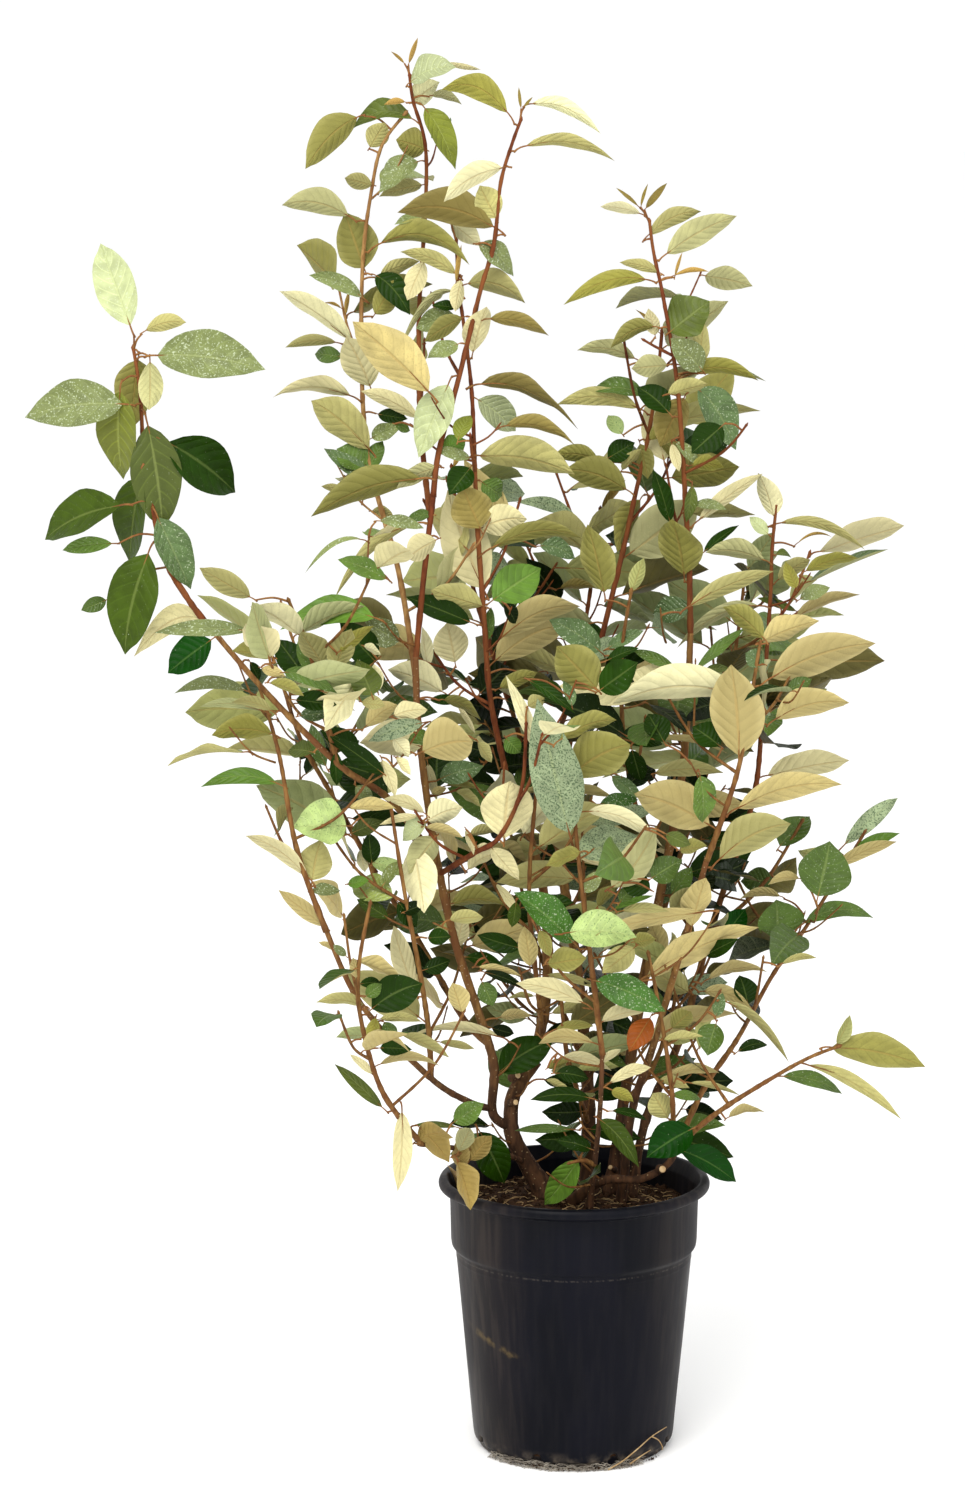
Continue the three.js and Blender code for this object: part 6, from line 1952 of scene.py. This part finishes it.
def leaf_under(kind, colour, group):
    """The underside: matt with silvery and brown scales, with the rib and veins standing out."""
    face = Material(f"leaf_{kind}_under", 0.62, 0.15)
    pattern = face.use(group, Scales=0.5)
    body = face.mix(pattern["Chance"], shade(colour, 0.82), shade(colour, 1.1))
    body = face.cover(body, pattern["Patches"], 0.55, shade(colour, 0.86))
    body = face.cover(body, pattern["Rim"], 0.35, mixed(shade(colour, 1.06), UNDER_RIM, 0.25))
    body = face.cover(body, pattern["Veins"], 0.26, shade(colour, 0.84))
    body = face.cover(body, pattern["Scales"], 0.5, shade(colour, 0.9))
    body = face.cover(body, pattern["Rib"], 0.4, mixed(colour, UNDER_RIB, 0.6))
    return face.finish(body, pattern["Height"], 0.58, 0.0018)


def wood_material(name, dark, light, patch, group, roughness=0.75, stretch=0.25):
    """Bark: long grain in two browns, with patches of a third."""
    wood = Material(name, roughness, 0.15)
    grain = wood.use(group, Fine=260.0, Broad=45.0, Stretch=stretch)
    body = wood.mix(grain["Grain"], dark, light)
    body = wood.cover(body, grain["Patches"], 0.6, patch)
    return wood.finish(body, grain["Height"], 0.5, 0.0012)


def bark_material(group):
    """Bark of the trunks and boughs: dark at the foot, tan higher up, with pale lenticels."""
    bark = Material("trunk_bark", 0.82, 0.15)
    grain = bark.use(group, Fine=210.0, Broad=40.0, Stretch=0.22)
    place = bark.place()
    height = bark.add("SeparateXYZ", {0: place}).outputs["Z"]
    low = bark.mix(grain["Grain"], (46, 30, 20), (86, 58, 38))
    high = bark.mix(grain["Grain"], (96, 64, 34), (144, 108, 60))
    high = bark.mix(grain["Patches"], high, (104, 66, 38))
    body = bark.mix(bark.ramp(height, 0.3, 0.48), low, high)
    dots = bark.add("TexVoronoi", {"Vector": place, "Scale": 210.0}).outputs["Distance"]
    dots = bark.times(bark.fall(dots, 0.1, 0.2), 0.7)
    body = bark.mix(dots, body, (168, 142, 104))
    return bark.finish(body, bark.plus(grain["Height"], dots), 0.7, 0.0016)


def pot_edge_reflection(pot, highlight_streaks, across):
    """Painted reflection: brownish light on the pot's left and right edges, stronger in the highlight
    streaks.
    """
    left = pot.ramp(pot.times(across, -1.0), 0.035, 0.1)
    right = pot.times(pot.ramp(across, 0.055, 0.105), 0.6)
    return pot.times(pot.times(pot.plus(left, right), 0.22), pot.plus(pot.times(highlight_streaks, 0.6), 0.4))


def pot_scuff(pot, across, depth, height, flakes):
    """A short slanting scuff on the front of the wall."""
    slope = pot.times(pot.plus(across, 0.073), -0.42)
    line = pot.fall(pot.off_by(pot.minus(height, 0.1165), slope), 0.0005, 0.006)
    ends = pot.fall(pot.compute("ABSOLUTE", pot.plus(across, 0.075)), 0.008, 0.03)
    front = pot.compute("LESS_THAN", depth, 0.0)
    return pot.times(pot.times(pot.times(line, ends), front), pot.ramp(flakes, 0.4, 0.62))


def pot_material(group):
    """Black satin plastic, painted highlight streaks, painted brown side reflections, a wall scuff and dry
    peat at its foot.
    """
    pot = Material("pot_plastic", 0.45, 0.08)
    grain = pot.use(group, Fine=330.0, Broad=16.0, Stretch=0.5)
    place = pot.place()
    split = pot.add("SeparateXYZ", {0: place})
    across, depth, height = split.outputs
    body = pot.mix(grain["Patches"], (5, 6, 13), (9, 10, 19))
    # Painted highlight: soft vertical streaks of lighter grey on the black wall.
    highlight_streak_place = pot.add("Mapping", {"Vector": place, "Scale": (150.0, 150.0, 7.0)}).outputs[0]
    highlight_streaks = pot.ramp(pot.noise(highlight_streak_place, 1.0, 4.0), 0.4, 0.7)
    body = pot.cover(body, highlight_streaks, 0.14, (34, 32, 33))
    # Painted reflection: brownish light on the left and right edges of the wall.
    body = pot.mix(pot_edge_reflection(pot, highlight_streaks, across), body, (92, 80, 70))
    seam = pot.fall(pot.off_by(height, 0.1905), 0.0003, 0.0012)
    seam = pot.times(seam, pot.ramp(grain["Grain"], 0.35, 0.8))
    body = pot.cover(body, seam, 0.28, (86, 80, 74))
    flakes = pot.noise(place, 85.0, 8.0)
    peat = pot.times(pot.fall(height, 0.002, 0.02), pot.ramp(flakes, 0.4, 0.75))
    body = pot.cover(body, peat, 0.8, (118, 106, 92))
    scuff = pot_scuff(pot, across, depth, height, flakes)
    body = pot.cover(body, scuff, 0.6, (96, 80, 50))
    rough = pot.add("MapRange", {0: grain["Patches"], 3: 0.38, 4: 0.55}).outputs[0]
    pot.tree.links.new(rough, pot.shader.inputs["Roughness"])
    return pot.finish(body, pot.plus(grain["Height"], scuff), 0.12, 0.0006)


def soil_material(group):
    """Peat: nearly black, with brown crumbs."""
    soil = Material("peat_soil", 0.95, 0.1)
    grain = soil.use(group, Fine=520.0, Broad=120.0, Stretch=1.0)
    body = soil.mix(grain["Grain"], (22, 14, 9), (56, 37, 24))
    body = soil.cover(body, grain["Patches"], 0.5, (78, 54, 36))
    return soil.finish(body, grain["Height"], 0.9, 0.002)


# Studio

FLOOR_REACH = 60
FLOOR_COLOUR = (0.97, 0.97, 0.97, 1)
WORLD_LIGHT = 1.04
SENSOR = 36


def make_floor():
    """A wide white floor."""
    mesh = bpy.data.meshes.new("studio_floor")
    corners = [(x * FLOOR_REACH, y * FLOOR_REACH, 0) for x, y in ((-1, -1), (1, -1), (1, 1), (-1, 1))]
    mesh.from_pydata(corners, [], [(0, 1, 2, 3)])
    paint = Material("studio_floor", 0.9)
    paint.shader.inputs["Base Color"].default_value = FLOOR_COLOUR
    mesh.materials.append(paint.material)
    floor = bpy.data.objects.new("studio_floor", mesh)
    bpy.context.scene.collection.objects.link(floor)


def add_lamp(name, place, aim, size, power, colour):
    """A round lamp that is turned toward its aim."""
    light = bpy.data.lights.new(name, "AREA")
    light.shape = "DISK"
    light.size = size
    light.energy = power
    light.color = colour
    lamp = bpy.data.objects.new(name, light)
    lamp.location = place
    lamp.rotation_euler = (Vector(aim) - Vector(place)).to_track_quat("-Z", "Y").to_euler()
    bpy.context.scene.collection.objects.link(lamp)


def light_studio():
    """White all round, a large lamp high at the front left and a weak one at the right."""
    world = bpy.data.worlds.new("studio")
    world.use_nodes = True
    background = world.node_tree.nodes["Background"]
    background.inputs["Color"].default_value = (1, 1, 1, 1)
    background.inputs["Strength"].default_value = WORLD_LIGHT
    bpy.context.scene.world = world
    bpy.context.scene.view_settings.view_transform = "Standard"
    add_lamp("key_light", (-1.3, -3.5, 4.2), (0, 0, 0.7), 4.0, 240, (1.0, 0.985, 0.95))
    add_lamp("fill_light", (2.8, -3.0, 1.8), (0, 0, 0.6), 2.6, 30, (1.0, 0.99, 0.97))


def add_camera():
    """The camera of the front view."""
    camera = bpy.data.objects.new("camera", bpy.data.cameras.new("camera"))
    camera.location = VIEW_EYE * MM
    camera.rotation_euler = (math.pi / 2 - VIEW_TIP, 0, 0)
    camera.data.sensor_width = SENSOR
    camera.data.lens = SENSOR * VIEW_REACH / (2 * VIEW_MIDDLE[1])
    bpy.context.scene.collection.objects.link(camera)
    bpy.context.scene.camera = camera


# The whole object

DRY_LEAF = {
    "base": (-110, 18, 236), "reach": (-0.12, 0.1, 1), "face": (1, -0.4, 0.1), "length": 34, "width": 0.5,
}


def dress_plant(grain):
    """The leaves, their stalks and the shoots, which replace the masses."""
    leaf_pattern = leaf_group()
    leaves, shoots, stalk_lines = show_leaves(*grow())
    dry = Leaf(*DRY_LEAF.values(), "soil", own=True)
    dry.kind = "dry"
    leaves.append(dry)
    settle_leaves(leaves)
    give_moods(leaves)
    looks = {
        kind: (leaf_upper(kind, upper, leaf_pattern), leaf_under(kind, under, leaf_pattern))
        for kind, (upper, under) in LEAF_KINDS.items()
    }
    pieces = make_leaves(leaves, looks)
    stalk = wood_material("stalk_skin", (118, 76, 38), (146, 104, 56), (98, 56, 30), grain, 0.6)
    pieces.append(make_stalks(leaves, stalk_lines, stalk))
    woods = {
        "red": wood_material("young_shoot_bark", (74, 32, 14), (108, 54, 26), (126, 76, 38), grain),
        "brown": wood_material("older_shoot_bark", (90, 58, 28), (134, 98, 52), (98, 58, 30), grain),
        "tan": wood_material("tan_shoot_bark", (120, 84, 46), (164, 128, 78), (104, 66, 34), grain),
    }
    for wood, material in woods.items():
        pieces.append(make_shoots(shoots, f"shoots_{wood}", wood, material))
    for piece in pieces:
        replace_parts(piece, *MASSES)
    bark = bark_material(grain)
    for name, limb in LIMBS.items():
        make_limb(name, limb, woods["red"] if limb["wood"] == "shoot" else bark)
    cut = wood_material("cut_wood", (196, 166, 120), (216, 190, 148), (160, 124, 84), grain, 0.8, 1.0)
    make_stubs(bark, cut)


def fill_pot(grain):
    """The pot with its soil, and what lies on it and clings to its foot."""
    make_pot(pot_material(grain))
    soil = soil_material(grain)
    make_soil(soil)
    make_crumbs(soil)
    fluff = wood_material("peat_fluff", (128, 120, 110), (176, 168, 154), (104, 94, 84), grain, 0.9, 1.0)
    make_fluff(fluff)
    fibre = wood_material("dry_fibre", (150, 122, 84), (190, 164, 122), (120, 92, 60), grain, 0.85, 1.0)
    make_fibres(fibre)


grain_pattern = grain_group()
dress_plant(grain_pattern)
fill_pot(grain_pattern)
make_floor()
light_studio()
add_camera()
